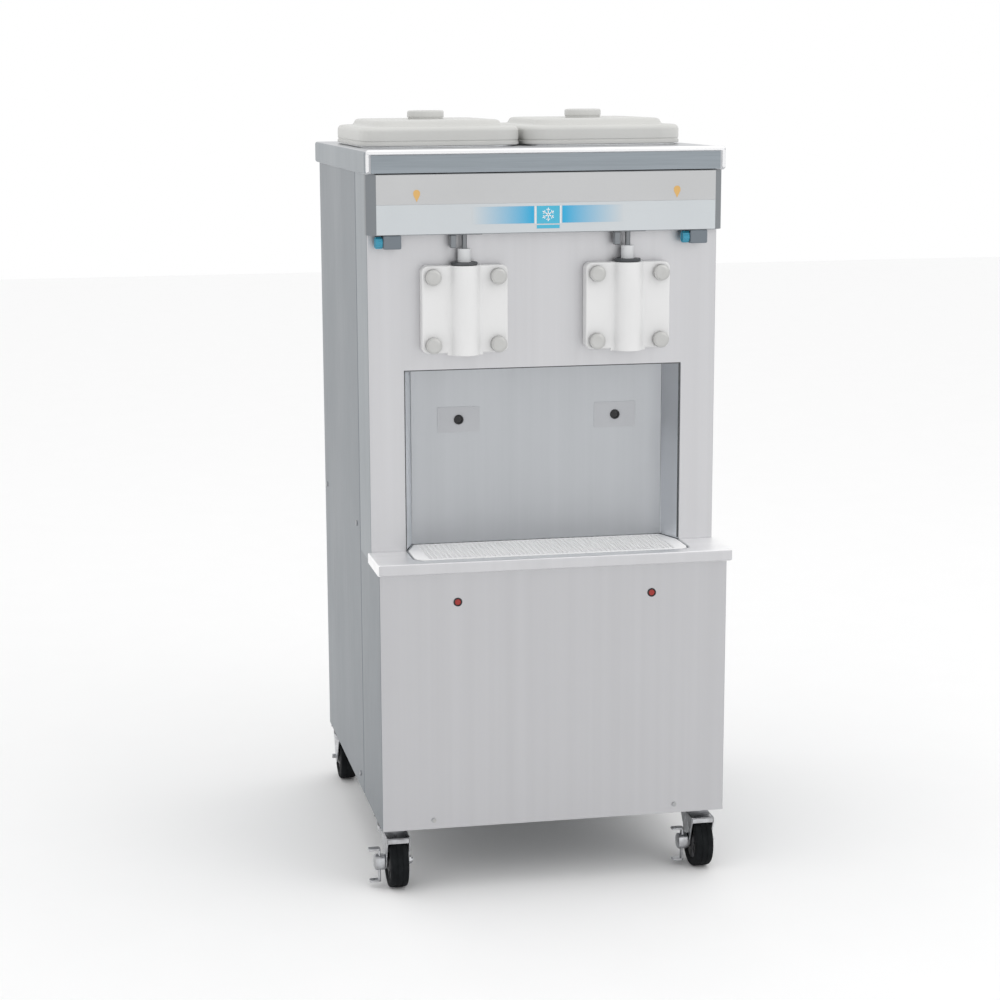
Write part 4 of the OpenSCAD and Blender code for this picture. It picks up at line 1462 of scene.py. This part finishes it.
@dataclass
class Header:
    """The channel over the doors, its printed fascia, the switches and the rod guides."""

    root: str
    sheet: float = 1.5 * MM
    split: float = 1320 * MM
    band: Point2 = (1282 * MM, 1314 * MM)
    tile: float = 22 * MM

    def build(self) -> None:
        """Builds the channel, the fascia and what hangs under it."""
        self.channel()
        self.fascia()
        self.snowflake()
        self.symbols()
        for side in Side:
            self.guide(side)
        self.switches()

    def channel(self) -> None:
        """The folded channel with bevelled front corners, and its floor."""
        box = Box.of("header_box")
        film = Box.of("header_fascia")
        corners = [
            (box.lo.x, box.hi.y), (box.lo.x, box.lo.y + 17 * MM), (film.lo.x, box.lo.y),
            (film.hi.x, box.lo.y), (box.hi.x, box.lo.y + 17 * MM), (box.hi.x, box.hi.y),
        ]
        plan = filleted(corners, 7 * MM, 5)
        shape = Shape().sheet(plan, box.lo.z, box.hi.z, self.sheet, (0, -1, 0))
        inner = [(x * 0.996, y + (0.8 * MM if y < box.lo.y + 9 * MM else 0)) for x, y in plan]
        shape.prism(inner, box.lo.z + 0.1 * MM, box.lo.z + self.sheet, Axis.Z, 0.3 * MM, 2)
        # Painted shade: the channel's steel is darkened for its sides and underside.
        channel = shape.finish("header_channel", [Palette.HEADER], self.root, "header_metal", ["header_box"])
        holes = Shape()
        for side in Side:
            rod = Box.of(f"draw_rod_{side.word}").mid
            holes.bar(5.8 * MM, (-5 * MM, 5 * MM), (rod.x, rod.y, box.lo.z), Axis.Z, 32)
        cut(channel, holes)

    def fascia(self) -> None:
        """The fascia's two greys, the fading bands and the tile between them."""
        box = Box.of("header_fascia")
        back, front = box.hi.y, box.lo.y
        shape = Shape()
        shape.block((box.lo.x, front + 0.1 * MM, self.split), (box.hi.x, back, box.hi.z), 0.5 * MM, 2, slot=0)
        shape.block((box.lo.x, front + 0.1 * MM, box.lo.z), (box.hi.x, back, self.split), 0.5 * MM, 2, slot=1)
        shape.finish(
            "fascia_film", [Palette.FILM_UPPER, Palette.FILM_LOWER], self.root, "fascia_film",
            ["header_fascia"],
        )
        bands = Shape()
        gap = self.tile + 5 * MM
        for sign in (-1, 1):
            x0, x1 = mirrored(sign, gap, 145 * MM)
            bands.block(
                (x0, front - 0.15 * MM, self.band[0]), (x1, front + 0.3 * MM, self.band[1]), 0.1 * MM, 2
            )
        bands.finish("fascia_bands", [Palette.FILM_BAND], self.root, "fascia_film")
        tile = Shape()
        low, mid, high = 1272 * MM, self.band[0] - 1 * MM, self.band[1]
        printed = [(-self.tile, self.tile, mid, high, 0), (-self.tile, self.tile, low, mid - 2.5 * MM, 0)]
        printed += [(x, x + 1.4 * MM, mid, high, 1) for x in (-self.tile - 2.6 * MM, self.tile + 1.2 * MM)]
        for x0, x1, z0, z1, slot in printed:
            tile.block((x0, front - 0.2 * MM, z0), (x1, front + 0.3 * MM, z1), 0.1 * MM, 2, slot=slot)
        tile.finish("fascia_tile", [Palette.FILM_TILE, Palette.FILM_WHITE], self.root, "fascia_film")

    def snowflake(self) -> None:
        """A plain six-armed snowflake on the tile."""
        front = Box.of("header_fascia").lo.y
        middle = Vector((0.0, 0.0, (self.band[0] + self.band[1]) / 2))
        shape = Shape()
        for i in range(6):
            turn = Matrix.Translation(middle) @ Matrix.Rotation(math.radians(60 * i), 4, "Y")
            arm = 12.5 * MM
            shape.block(
                (-0.8 * MM, front - 0.35 * MM, 0), (0.8 * MM, front - 0.1 * MM, arm), 0.05 * MM, 1, turn
            )
            for sign in (-1, 1):
                twig = turn @ Matrix.Translation((0, 0, 7 * MM)) @ Matrix.Rotation(
                    math.radians(50 * sign), 4, "Y"
                )
                tip = (0.6 * MM, front - 0.1 * MM, 4.5 * MM)
                shape.block((-0.6 * MM, front - 0.35 * MM, 0), tip, 0.05 * MM, 1, twig)
        shape.finish("fascia_snowflake", [Palette.FILM_WHITE], self.root, "fascia_film")

    def symbols(self) -> None:
        """A small cone under a ball, printed over each door."""
        front = Box.of("header_fascia").lo.y
        shape = Shape()
        for sign in (-1, 1):
            x, z = sign * 250 * MM, 1336 * MM
            ball = arc((x, z + 5 * MM), 6.5 * MM, -20, 200, 14)
            cone = [(x - 6.6 * MM, z + 2.2 * MM), (x, z - 11 * MM), (x + 6.6 * MM, z + 2.2 * MM)]
            shape.prism(ball + cone, front - 0.25 * MM, front + 0.2 * MM, Axis.Y)
        shape.finish("fascia_symbols", [Palette.AMBER], self.root, "fascia_film")

    def guide(self, side: Side) -> None:
        """The bracket that guides a draw rod under the header.

        Args:
            side: which side.
        """
        rod = Box.of(f"draw_rod_{side.word}").mid
        top = Box.of("header_box").lo.z
        shape = Shape()
        left = rod.x - 27 * MM
        plate_hi = (rod.x + 33 * MM, rod.y + 14 * MM, top - 0.1 * MM)
        shape.block((left, rod.y - 9 * MM, top - 1.4 * MM), plate_hi, 0.4 * MM, 2, slot=0)
        lug_hi = (rod.x - 16 * MM, rod.y + 9 * MM, top - 1.2 * MM)
        shape.block((left, rod.y - 7 * MM, top - 26 * MM), lug_hi, 2 * MM, 3, slot=1)
        guide = shape.finish(
            f"rod_guide_{side.word}", [Palette.ROD, Palette.HEADER], self.root, "header_metal"
        )
        cut(guide, Shape().bar(6 * MM, (-3 * MM, 3 * MM), (rod.x, rod.y, top - 0.8 * MM), Axis.Z, 32))

    def switches(self) -> None:
        """Each switch housing with a ribbed knob on its left end."""
        box = Box.of("switch_housings")
        width, grip = 34 * MM, 13.5 * MM
        shape, bores = Shape(), Shape()
        for side in Side:
            node = f"power_knob_{side.word}"
            knob = Box.of(node)
            y, z = knob.mid.y, knob.mid.z
            x = box.lo.x if side is Side.LEFT else box.hi.x - width
            shape.block((x, box.lo.y, box.lo.z), (x + width, box.hi.y, box.hi.z), 3 * MM, 4)
            rib_hi = (x + 11 * MM, box.hi.y - 3 * MM, box.hi.z)
            shape.block((x + 10 * MM, box.lo.y + 3 * MM, box.lo.z), rib_hi, 0.2 * MM, 1)
            bores.bar(3.05 * MM, (-20 * MM, 1 * MM), (knob.hi.x, y, z), Axis.X, 24)
            outline = [(y + a, z + b) for a, b in lobed(11.4 * MM, 1.0 * MM, 14)]
            start = knob.lo.x + 1.6 * MM
            skin = Shape().prism(outline, start, start + grip - 0.3 * MM, Axis.X, 0.9 * MM, 2)
            ridge_hi = (start + 2 * MM, y + 1.5 * MM, z + 9 * MM)
            skin.block((knob.lo.x, y - 1.5 * MM, z - 9 * MM), ridge_hi, 0.6 * MM, 2)
            foot = start + grip - 1 * MM
            spindle = [(0, foot), (3 * MM, foot), (3 * MM, knob.hi.x - 0.5 * MM), (0, knob.hi.x)]
            skin.lathe(spindle, (0.0, y, z), Axis.X, 24)
            skin.finish(f"knob_skin_{side.word}", [Palette.BLUE], node, "switch_blue", [node])
        housings = shape.finish(
            "switch_skins", [Palette.HOUSING], self.root, "switch_grey", ["switch_housings"]
        )
        cut(housings, bores)


@dataclass
class Deck:
    """Top deck with a rolled front rim in a lighter steel, a painted highlight, and a dark band under it,
    painted shade.
    """

    root: str
    roll: float = 5 * MM
    opening: Point2 = (140 * MM, 180 * MM)
    corner: float = 46 * MM

    def build(self) -> None:
        """Builds the deck with the hoppers' openings, its front rim and its band."""
        box = Box.of("top_deck")
        header = Box.of("header_box")
        top = box.hi.z - 2 * MM
        front = header.lo.y
        half = box.hi.x
        mid_y = (front + box.hi.y) / 2
        outline = round_rect((half, (box.hi.y - front) / 2), 9 * MM, (0.0, mid_y), 6)
        shape = Shape().prism(outline, box.lo.z, top, Axis.Z, self.roll, 5)
        # Painted shade: the deck's ends take a darker copy of its steel.
        shape.tint(Axis.X, 1)
        deck = shape.finish(
            "deck_skin", [Palette.DECK, Palette.SHADED_RETURN], self.root, "stainless_deck", ["top_deck"]
        )
        wells = Shape()
        for side in Side:
            hopper = Box.of(f"mix_hopper_{side.word}")
            plan = round_rect(self.opening, self.corner, (hopper.mid.x, hopper.mid.y))
            wells.prism(plan, box.lo.z - 5 * MM, top + 5 * MM)
        cut(deck, wells)
        # Painted highlight: the rolled rim takes a lighter copy of the deck steel.
        rim = Shape()
        ends = half - 3 * MM
        turns = [math.radians(a) for a in range(0, 91, 15)]
        cap = [(self.roll * math.sin(a), -self.roll * math.cos(a)) for a in turns]
        profile = [(r, h - ends + self.roll) for r, h in cap] + [
            (r, ends - self.roll - h) for r, h in reversed(cap)
        ]
        rim.lathe(profile, (0.0, front + 2 * MM, box.hi.z - self.roll), Axis.X, 32)
        for sign in (-1, 1):
            bead = [(r * 0.7, box.lo.z + 2 * MM + h * 0.7 + self.roll) for r, h in cap]
            bead += [(3.5 * MM, box.hi.z - 8 * MM), (0, box.hi.z - 6 * MM)]
            rim.lathe(bead, (sign * (half - 6 * MM), front + 1 * MM, 0.0), Axis.Z, 24)
        rim.finish("deck_rim", [Palette.RIM], self.root, "stainless_deck")
        # Painted shade: a dark band under the rolled rim, over the deck's front face.
        reach = half - 12 * MM
        shade_band_hi = (reach, front + 1 * MM, box.hi.z - 10 * MM)
        band = Shape().block((-reach, front - 1.2 * MM, box.lo.z + 2 * MM), shade_band_hi, 0.6 * MM, 2)
        band.finish("deck_shade_band", [Palette.TRIM], self.root, "stainless_deck")


@dataclass
class HopperCover:
    """A moulded cover with a skirt, a raised middle and a round knob."""

    side: Side
    corner: float = 52 * MM

    def ring(self, inset: float, z: float, grow: float = 0.0) -> list[Point3]:
        """One loop of the cover's surface.

        Args:
            inset: distance inside the skirt.
            z: height.
            grow: how much the corner radius shrinks less than the inset.

        Returns:
            The loop's points.
        """
        box = Box.of(f"hopper_cover_{self.side.word}")
        half = (box.size.x / 2 - inset, box.size.y / 2 - inset)
        radius = max(self.corner - inset + grow, 8 * MM)
        return [(x, y, z) for x, y in round_rect(half, radius, (box.mid.x, box.mid.y), 10)]

    def build(self) -> None:
        """Builds the cover and its knob."""
        node = f"hopper_cover_{self.side.word}"
        box = Box.of(node)
        z0, top = box.lo.z - 4 * MM, box.hi.z - 17 * MM
        brow = top - 12 * MM
        # Each step is an inset in millimetres and a height in metres.
        steps = [
            (30, brow - 4.2 * MM), (9, brow - 4.4 * MM), (5, brow - 8 * MM), (4.2, z0 + 1 * MM), (3.2, z0),
            (0.6, z0), (0, z0 + 1.2 * MM), (0, z0 + 6 * MM), (1.6, z0 + 6.8 * MM), (1.6, z0 + 9 * MM),
            (0.4, z0 + 10 * MM), (0.4, brow - 9 * MM), (1.6, brow - 5 * MM), (4.4, brow - 1.8 * MM),
            (8.5, brow - 0.4 * MM), (13, brow), (27, brow + 0.4 * MM), (30, brow + 1.6 * MM),
            (32, brow + 5 * MM),
            (34, brow + 9 * MM), (37, brow + 11 * MM), (42, top), (60, top),
        ]
        shape = Shape().loft([self.ring(inset * MM, z, min(inset, 36) * 0.6 * MM) for inset, z in steps])
        shape.finish(f"cover_skin_{self.side.word}", [Palette.COVER], node, "cover_plastic", [node])
        knob = [
            (0, -0.6), (33.5, -0.6), (35, 0.4), (35.4, 2), (35.4, 3), (36.6, 4), (37, 6), (37, 13),
            (36.6, 15),
            (35.2, 16.4), (33, 17), (30, 16.8), (28.4, 15.9), (20, 15.5), (0, 15.4),
        ]
        cap = Shape().lathe(in_mm(knob), (box.mid.x, box.mid.y, top), Axis.Z, 64)
        cap.finish(f"cover_knob_{self.side.word}", [Palette.KNOB], node, "cover_plastic")


@dataclass
class Dispenser:
    """A freezer door with its valve column, its hand screws and its draw valve."""

    side: Side
    plate: float = 82.5 * MM
    depth: float = 28 * MM
    column: float = 28.5 * MM
    screw: float = 15.5 * MM
    screw_hole: float = 4.6 * MM

    def build(self) -> None:
        """Builds the door and what is on it."""
        self.door()
        self.screws()
        self.valve()

    def door(self) -> None:
        """The moulded plate with a column that flows into it, a plug behind and a bore down the column."""
        node = f"freezer_door_{self.side.word}"
        box = Box.of(node)
        barrel_z = Box.of(f"beater_{self.side.word}").mid.z
        back = Box.of("upper_front_panel").lo.y
        rod = Box.of(f"draw_rod_{self.side.word}").mid
        x, face = box.mid.x, back - self.depth
        shape = Shape().prism(
            round_rect((self.plate, self.plate), 12 * MM, (x, barrel_z)), face, back - 0.1 * MM, Axis.Y,
            3.5 * MM, 4,
        )
        reach = self.column
        flank = 9 * MM
        touch = math.degrees(math.asin(min(1.0, (rod.y - face + flank) / (reach + flank) * -1)))
        nose = arc((x, rod.y), reach, 180 - touch, 360 + touch, 24)
        right = (x + (reach + flank) * math.cos(math.radians(touch)), face - flank)
        left = (2 * x - right[0], right[1])
        right_fillet = arc(right, flank, 180 + touch, 90, 6)
        left_fillet = arc(left, flank, 90, -touch, 6)
        body = nose + right_fillet[1:] + [
            (right[0], face + 4 * MM), (left[0], face + 4 * MM)
        ] + left_fillet[:-1]
        shape.prism(body, box.lo.z, box.hi.z, Axis.Z, 1.6 * MM, 3)
        plug = [(0, 25), (41, 25), (44.5, 23.5), (45.6, 21), (45.6, 6), (45.6, -0.5), (0, -0.5)]
        shape.lathe(in_mm(plug), (x, back, barrel_z), Axis.Y, 64)
        door = shape.finish(f"door_skin_{self.side.word}", [Palette.DOOR], node, "door_plastic", [node])
        bore = [(0, -1), (11, -1), (11, 12), (14.05, 14), (14.05, 200), (0, 200)]
        cut(door, Shape().lathe(in_mm(bore), (x, rod.y, box.lo.z), Axis.Z, 48))
        holes = Shape()
        for screw_x, screw_z in self.screw_places():
            holes.bar(self.screw_hole, (-30 * MM, 60 * MM), (screw_x, back, screw_z), Axis.Y, 24)
        cut(door, holes)

    def screw_places(self) -> list[Point2]:
        """Where the four hand screws are.

        Returns:
            The x and z of each screw's axis.
        """
        box = Box.of(f"hand_screws_{self.side.word}")
        reach = (box.size.x / 2 - self.screw, box.size.z / 2 - self.screw)
        signs = ((-1, -1), (1, -1), (-1, 1), (1, 1))
        return [(box.mid.x + sx * reach[0], box.mid.z + sz * reach[1]) for sx, sz in signs]

    def screws(self) -> None:
        """Four turned hand screws with knurled rims."""
        node = f"hand_screws_{self.side.word}"
        box = Box.of(node)
        length = box.size.y / MM
        rim = self.screw / MM
        body = [
            (0, 0.4), (4, 0.3), (9, 0), (12.2, 0.1), (13.2, 1.2), (13.2, length - 2.3), (10.5, length - 2.1),
            (10.5, length - 0.5), (10, length - 0.2), (4.08, length - 0.2), (4.08, length - 12),
            (0, length - 12),
        ]
        # The fluted ring's section: radius, depth of the flutes and distance from the screw's face.
        ring = [
            (rim - 0.8, 0.5, 1), (rim, 0.5, 1.8), (rim, 0.5, length - 2.8), (rim - 0.8, 0.5, length - 2),
            (12, 0, length - 2), (12, 0, 1), (rim - 0.8, 0.5, 1),
        ]
        shape = Shape()
        for x, z in self.screw_places():
            shape.lathe(in_mm(body), (x, box.lo.y, z), Axis.Y, 40)
            loops = []
            for r, flute, h in ring:
                plan = lobed(r * MM, flute * MM, 36)
                loops.append([(x + a, box.lo.y + h * MM, z + b) for a, b in plan])
            shape.loft(loops, capped=False)
        shape.finish(
            f"screw_skins_{self.side.word}", [Palette.TURNED], node, "hand_screw_metal", [node], sharp=50
        )

    def valve(self) -> None:
        """The draw valve: a sealed plug, a dark collar and the hook block for the rod's head."""
        node = f"draw_valve_{self.side.word}"
        box = Box.of(node)
        rod = Box.of(f"draw_rod_{self.side.word}")
        x, y = rod.mid.x, rod.mid.y
        column_top = Box.of(f"freezer_door_{self.side.word}").hi.z
        collar = column_top + 0.6 * MM
        plug_top = collar + 7.2 * MM
        reach = Box.of("upper_front_panel").lo.y - 0.6 * MM - y
        shape = Shape()
        stem = [(0, 0), (11, 0), (13.2, 1.6), (13.6, 4), (12.6, 5), (12.6, 8), (13.6, 9)]
        stem += [(13.6, 20), (12.6, 21), (12.6, 24), (13.6, 25)]
        profile = [(r, box.lo.z + h) for r, h in in_mm(stem)]
        profile += [(13.6 * MM, collar + 1 * MM), (0, collar + 1 * MM)]
        shape.lathe(profile, (x, y, 0.0), Axis.Z, 40, slot=0)
        turns = [2 * math.pi * i / 64 for i in range(64)]
        disc = [(x + 25 * MM * math.cos(a), y + min(25 * MM * math.sin(a), reach)) for a in turns]
        shape.prism(disc, collar, plug_top - 1.5 * MM, Axis.Z, 1.2 * MM, 2, slot=1)
        block = 12.5 * MM
        slot_z, neck_z = rod.lo.z - 1 * MM, rod.lo.z + 5 * MM
        shape.bar(block, (plug_top - 2 * MM, slot_z), (x, y, 0.0), Axis.Z, 40, slot=0)
        for half, z0, z1 in (
            (9.6 * MM, slot_z - 0.05 * MM, neck_z), (5.6 * MM, neck_z - 0.05 * MM, box.hi.z)
        ):
            open_angle = math.degrees(math.asin(half / block))
            outer = arc((x, y), block, 90 + open_angle, 450 - open_angle, 32)
            inner = arc((x, y), half, 0, -180, 16)
            shape.prism(outer + inner, z0, z1, Axis.Z, 0.0, slot=0)
        shape.finish(
            f"valve_skin_{self.side.word}", [Palette.VALVE, Palette.COLLAR], node, "valve_plastic", [node]
        )


@dataclass
class Caster:
    """One swivel caster: fork, wheel and, at the front, a side brake."""

    side: Side
    end: str
    leg: float = 3 * MM
    trail: float = 35 * MM

    @property
    def key(self) -> str:
        """The end and side, as the nodes spell them."""
        return f"{self.end}_{self.side.word}"

    def build(self) -> None:
        """Builds the fork, the wheel and the brake."""
        self.fork()
        self.wheel()
        if self.end == "front":
            self.brake()

    def fork(self) -> None:
        """A pressed fork: a domed crown with a bright ring, two legs, a skirt, the axle and its nut."""
        node = f"caster_fork_{self.key}"
        box = Box.of(node)
        wheel = Box.of(f"caster_wheel_{self.key}")
        axle = wheel.mid
        ahead = -1.0 if self.end == "front" else 1.0
        pivot = axle.y - ahead * self.trail
        x, crown = axle.x, box.hi.z
        shape = Shape()
        dome = [
            (6.2, 0), (26, 0), (30.4, -0.7), (31.5, -2.4), (31.5, -4.6), (30, -5.6), (30, -6.6), (31.2, -7.4),
            (31.5, -9), (31, -10.8), (29.6, -11.6), (6.2, -11.6),
        ]
        shape.lathe(in_mm(dome), (x, pivot, crown), Axis.Z, 56, closed=True)
        floor = crown - 11.6 * MM
        gap = wheel.size.x / 2 + 2 * MM
        for sign in (-1, 1):
            rise = [
                (-18, floor + 4 * MM), (21, axle.z), (49, axle.z), (66, floor - 8 * MM),
                (66, floor + 4 * MM),
            ]
            plate = [(pivot + ahead * d * MM, z) for d, z in rise]
            eye = [(axle.y + a, axle.z + b) for a, b in arc((0, 0), 14 * MM, 0, 345, 23)]
            x0, x1 = sorted((x + sign * gap, x + sign * (gap + self.leg)))
            shape.prism(plate, x0, x1, Axis.X, 0.8 * MM, 2)
            shape.prism(eye, x0 - 0.2 * MM, x1 + 0.2 * MM, Axis.X, 0.8 * MM, 2)
        near, far = sorted((pivot, pivot + ahead * 66 * MM))
        wide = gap + self.leg
        shape.block((x - wide, near, floor - 0.1 * MM), (x + wide, far, floor + 3.6 * MM), 1.4 * MM, 3)
        lip = sorted((pivot + ahead * 63 * MM, pivot + ahead * 66 * MM))
        shape.block((x - wide, lip[0], floor - 8 * MM), (x + wide, lip[1], floor + 3.4 * MM), 1.2 * MM, 3)
        rod = [(0, -32), (4.2, -32), (5, -31), (5, 31), (4.2, 32), (0, 32)]
        shape.lathe(in_mm(rod), axle, Axis.X, 24)
        nut = [(axle.y + a, axle.z + b) for a, b in arc((0, 0), 8.4 * MM, 0, 300, 5)]
        shape.prism(nut, x + wide + 0.2 * MM, x + wide + 6 * MM, Axis.X, 0.8 * MM, 2)
        shape.finish(f"fork_skin_{self.key}", [Palette.FORK], node, "caster_zinc", [node])

    def wheel(self) -> None:
        """A wheel with a rounded, grooved tread and a dished hub with ribs."""
        node = f"caster_wheel_{self.key}"
        box = Box.of(node)
        half = box.size.x / 2 / MM
        r = box.size.z / 2 / MM
        half_tread = [
            (r, 0), (r, 4.2), (r - 0.8, 4.7), (r - 0.8, 6.0), (r, 6.5), (r, half - 4.5),
            (r - 0.7, half - 2.4),
            (r - 2.4, half - 0.7), (r - 5, half - 0.1), (r - 12, half - 0.2), (r - 13.4, half - 1.4),
        ]
        bed = [(r - 16, 3 - half), (r - 16, half - 3)]
        hub = [
            (r - 14, half - 3.6), (22, half - 4.4), (19, half - 3.8), (17.4, half - 1.2), (16, half - 0.2),
            (10, half), (9, half - 0.8), (5.1, half - 0.8),
        ]
        tread = half_tread[:0:-1] + [(a, -h) for a, h in half_tread] + bed
        shape = Shape().lathe(in_mm(tread), box.mid, Axis.X, 72, True, slot=0)
        shape.lathe(in_mm(hub[::-1] + [(a, -h) for a, h in hub]), box.mid, Axis.X, 48, True, slot=1)
        for i in range(8):
            for sign in (-1, 1):
                turn = Matrix.Translation(box.mid) @ Matrix.Rotation(2 * math.pi * i / 8, 4, "X")
                x0, x1 = mirrored(sign, (half - 5.4) * MM, (half - 2.4) * MM)
                shape.block(
                    (x0, -1.1 * MM, 18 * MM), (x1, 1.1 * MM, (r - 14.5) * MM), 0.5 * MM, 2, turn, slot=1
                )
        shape.finish(f"wheel_skin_{self.key}", [Palette.TYRE, Palette.HUB], node, "wheel_rubber", [node])

    def brake(self) -> None:
        """A side lever: a cupped hub on the axle's end, a bar, and a bent tab above and below."""
        node = f"caster_brake_{self.side.word}"
        axle = Box.of(f"caster_wheel_{self.key}").mid
        cup = [
            (0, -33.5), (5.1, -33.5), (5.1, -23.6), (14.5, -23.6), (16, -25), (16, -40.5), (14.6, -43),
            (11, -44), (0, -44),
        ]
        shape = Shape().lathe(in_mm(cup), axle, Axis.X, 40)
        x = axle.x
        lever_hi = (x - 32 * MM, axle.y + 7 * MM, axle.z + 28 * MM)
        shape.block((x - 36 * MM, axle.y - 7 * MM, axle.z - 38 * MM), lever_hi, 1.4 * MM, 3)
        for low, high, reach in ((25, 29, 56), (-39, -35, 54)):
            tab = round_rect(((reach - 32) / 2 * MM, 8 * MM), 4 * MM, (x - (reach + 32) / 2 * MM, axle.y), 5)
            shape.prism(tab, axle.z + low * MM, axle.z + high * MM, Axis.Z, 1.2 * MM, 3)
        shape.finish(f"brake_skin_{self.side.word}", [Palette.FORK], node, "caster_zinc", [node])


class Carried:
    """CAD nodes whose shape is right, which only need their finish."""

    FINISHES: dict[str, Finish] = {
        "chassis_frame": Palette.FRAME,
        "rear_panel": Palette.REAR,
        "panel_screws": Palette.SCREW,
        "mix_hopper_left": Palette.TUB,
        "mix_hopper_right": Palette.TUB,
        "mix_feed_tubes": Palette.FORK,
        "freezing_cylinders": Palette.TUB,
        "door_gaskets": Palette.SEAL_WHITE,
        "gear_reducers": Palette.GEARBOX,
        "drive_belts": Palette.BELT,
        "beater_motors": Palette.MOTOR,
        "compressors": Palette.ENAMEL,
        "condenser": Palette.FINS,
        "control_board": Palette.BOARD,
        "draw_solenoids": Palette.BLACK,
        "caster_plates": Palette.PLATE,
        "beater_left": Palette.BEATER,
        "beater_right": Palette.BEATER,
        "driven_pulley_left": Palette.IRON,
        "driven_pulley_right": Palette.IRON,
        "motor_pulley_left": Palette.IRON,
        "motor_pulley_right": Palette.IRON,
        "condenser_fan": Palette.FAN,
        "draw_rod_left": Palette.ROD,
        "draw_rod_right": Palette.ROD,
        "reset_button_left": Palette.RED,
        "reset_button_right": Palette.RED,
    }

    @classmethod
    def dress(cls, nodes: dict[str, bpy.types.Object]) -> None:
        """Gives every carried node its finish, and any other node the front panels' steel.

        Args:
            nodes: the frame's nodes by name.
        """
        for name, node in nodes.items():
            finish = cls.FINISHES.get(name, Palette.FRONT)
            node.data.materials.clear()
            node.data.materials.append(finish.material())
            LOG.info("node %s: %s", name, finish.name)


# ------------------------------------------------------------------ studio


@dataclass
class Studio:
    """Floor, lights and camera."""

    position: Point3 = (-0.951, -4.447, 1.544)
    heading: float = 10.457
    tilt: float = -11.389
    roll: float = -0.441
    lens: float = 80.35
    shift: Point2 = (0.0496, 0.0309)

    def build(self) -> None:
        """Builds the studio."""
        self.floor()
        self.world()
        self.lights()
        self.camera()

    def floor(self) -> None:
        """A plain pale floor."""
        part = bmesh.new()
        bmesh.ops.create_grid(part, x_segments=4, y_segments=4, size=14.0)
        mesh = bpy.data.meshes.new("floor")
        part.to_mesh(mesh)
        part.free()
        floor = bpy.data.objects.new("floor", mesh)
        bpy.context.scene.collection.objects.link(floor)
        paint = MouldedPlastic("floor_paint", (0.95, 0.95, 0.95), roughness=0.9, drift=0.004, texture=0.02)
        mesh.materials.append(paint.material())

    def world(self) -> None:
        """An even white surround."""
        world = bpy.data.worlds.new("surround")
        bpy.context.scene.world = world
        world.use_nodes = True
        shader = next(n for n in world.node_tree.nodes if n.type == "BACKGROUND")
        shader.inputs["Color"].default_value = (1.0, 1.0, 1.0, 1.0)
        shader.inputs["Strength"].default_value = 1.0

    def lights(self) -> None:
        """A large soft key from the right front and a wide fill from above."""
        for name, place, size, power in (
            ("key", (3.2, -4.0, 3.6), 3.0, 30.0),
            ("top", (0.0, -0.6, 4.6), 3.5, 14.0),
        ):
            data = bpy.data.lights.new(name, "AREA")
            data.shape = "SQUARE"
            data.size = size
            data.energy = power
            lamp = bpy.data.objects.new(name, data)
            bpy.context.scene.collection.objects.link(lamp)
            lamp.location = place
            aim = Vector((0.0, 0.0, 0.8)) - Vector(place)
            lamp.rotation_euler = aim.to_track_quat("-Z", "Y").to_euler()

    def camera(self) -> None:
        """A long lens at the front left, level with the machine's top, and a plain view transform."""
        data = bpy.data.cameras.new("camera")
        data.lens = self.lens
        data.sensor_width = 36.0
        data.shift_x, data.shift_y = self.shift
        data.clip_end = 60.0
        bpy.context.scene.view_settings.view_transform = "Standard"
        camera = bpy.data.objects.new("camera", data)
        bpy.context.scene.collection.objects.link(camera)
        turn = Matrix.Rotation(math.radians(-self.heading), 4, "Z")
        turn = turn @ Matrix.Rotation(math.radians(90 + self.tilt), 4, "X")
        turn = turn @ Matrix.Rotation(math.radians(self.roll), 4, "Z")
        camera.matrix_world = Matrix.Translation(self.position) @ turn
        bpy.context.scene.camera = camera


def corners(bounds: tuple) -> list[list[float]]:
    """A box as plain lists.

    Args:
        bounds: its lowest and highest corner.

    Returns:
        The two corners as lists of numbers.
    """
    return [[float(v) for v in corner] for corner in bounds]


def main() -> None:
    """Builds the machine piece by piece, then the studio."""
    logging.basicConfig(level=logging.INFO, format="%(name)s: %(message)s")
    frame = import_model()
    root = "cabinet"
    Carried.dress(frame["nodes"])
    Cabinet(root).build()
    Ledge(root).build()
    Recess(root).build()
    Header(root).build()
    Deck(root).build()
    for side in Side:
        HopperCover(side).build()
        Dispenser(side).build()
        for end in ("front", "rear"):
            Caster(side, end).build()
    Studio().build()
    bpy.context.view_layer.update()


if __name__ == "__main__":
    main()
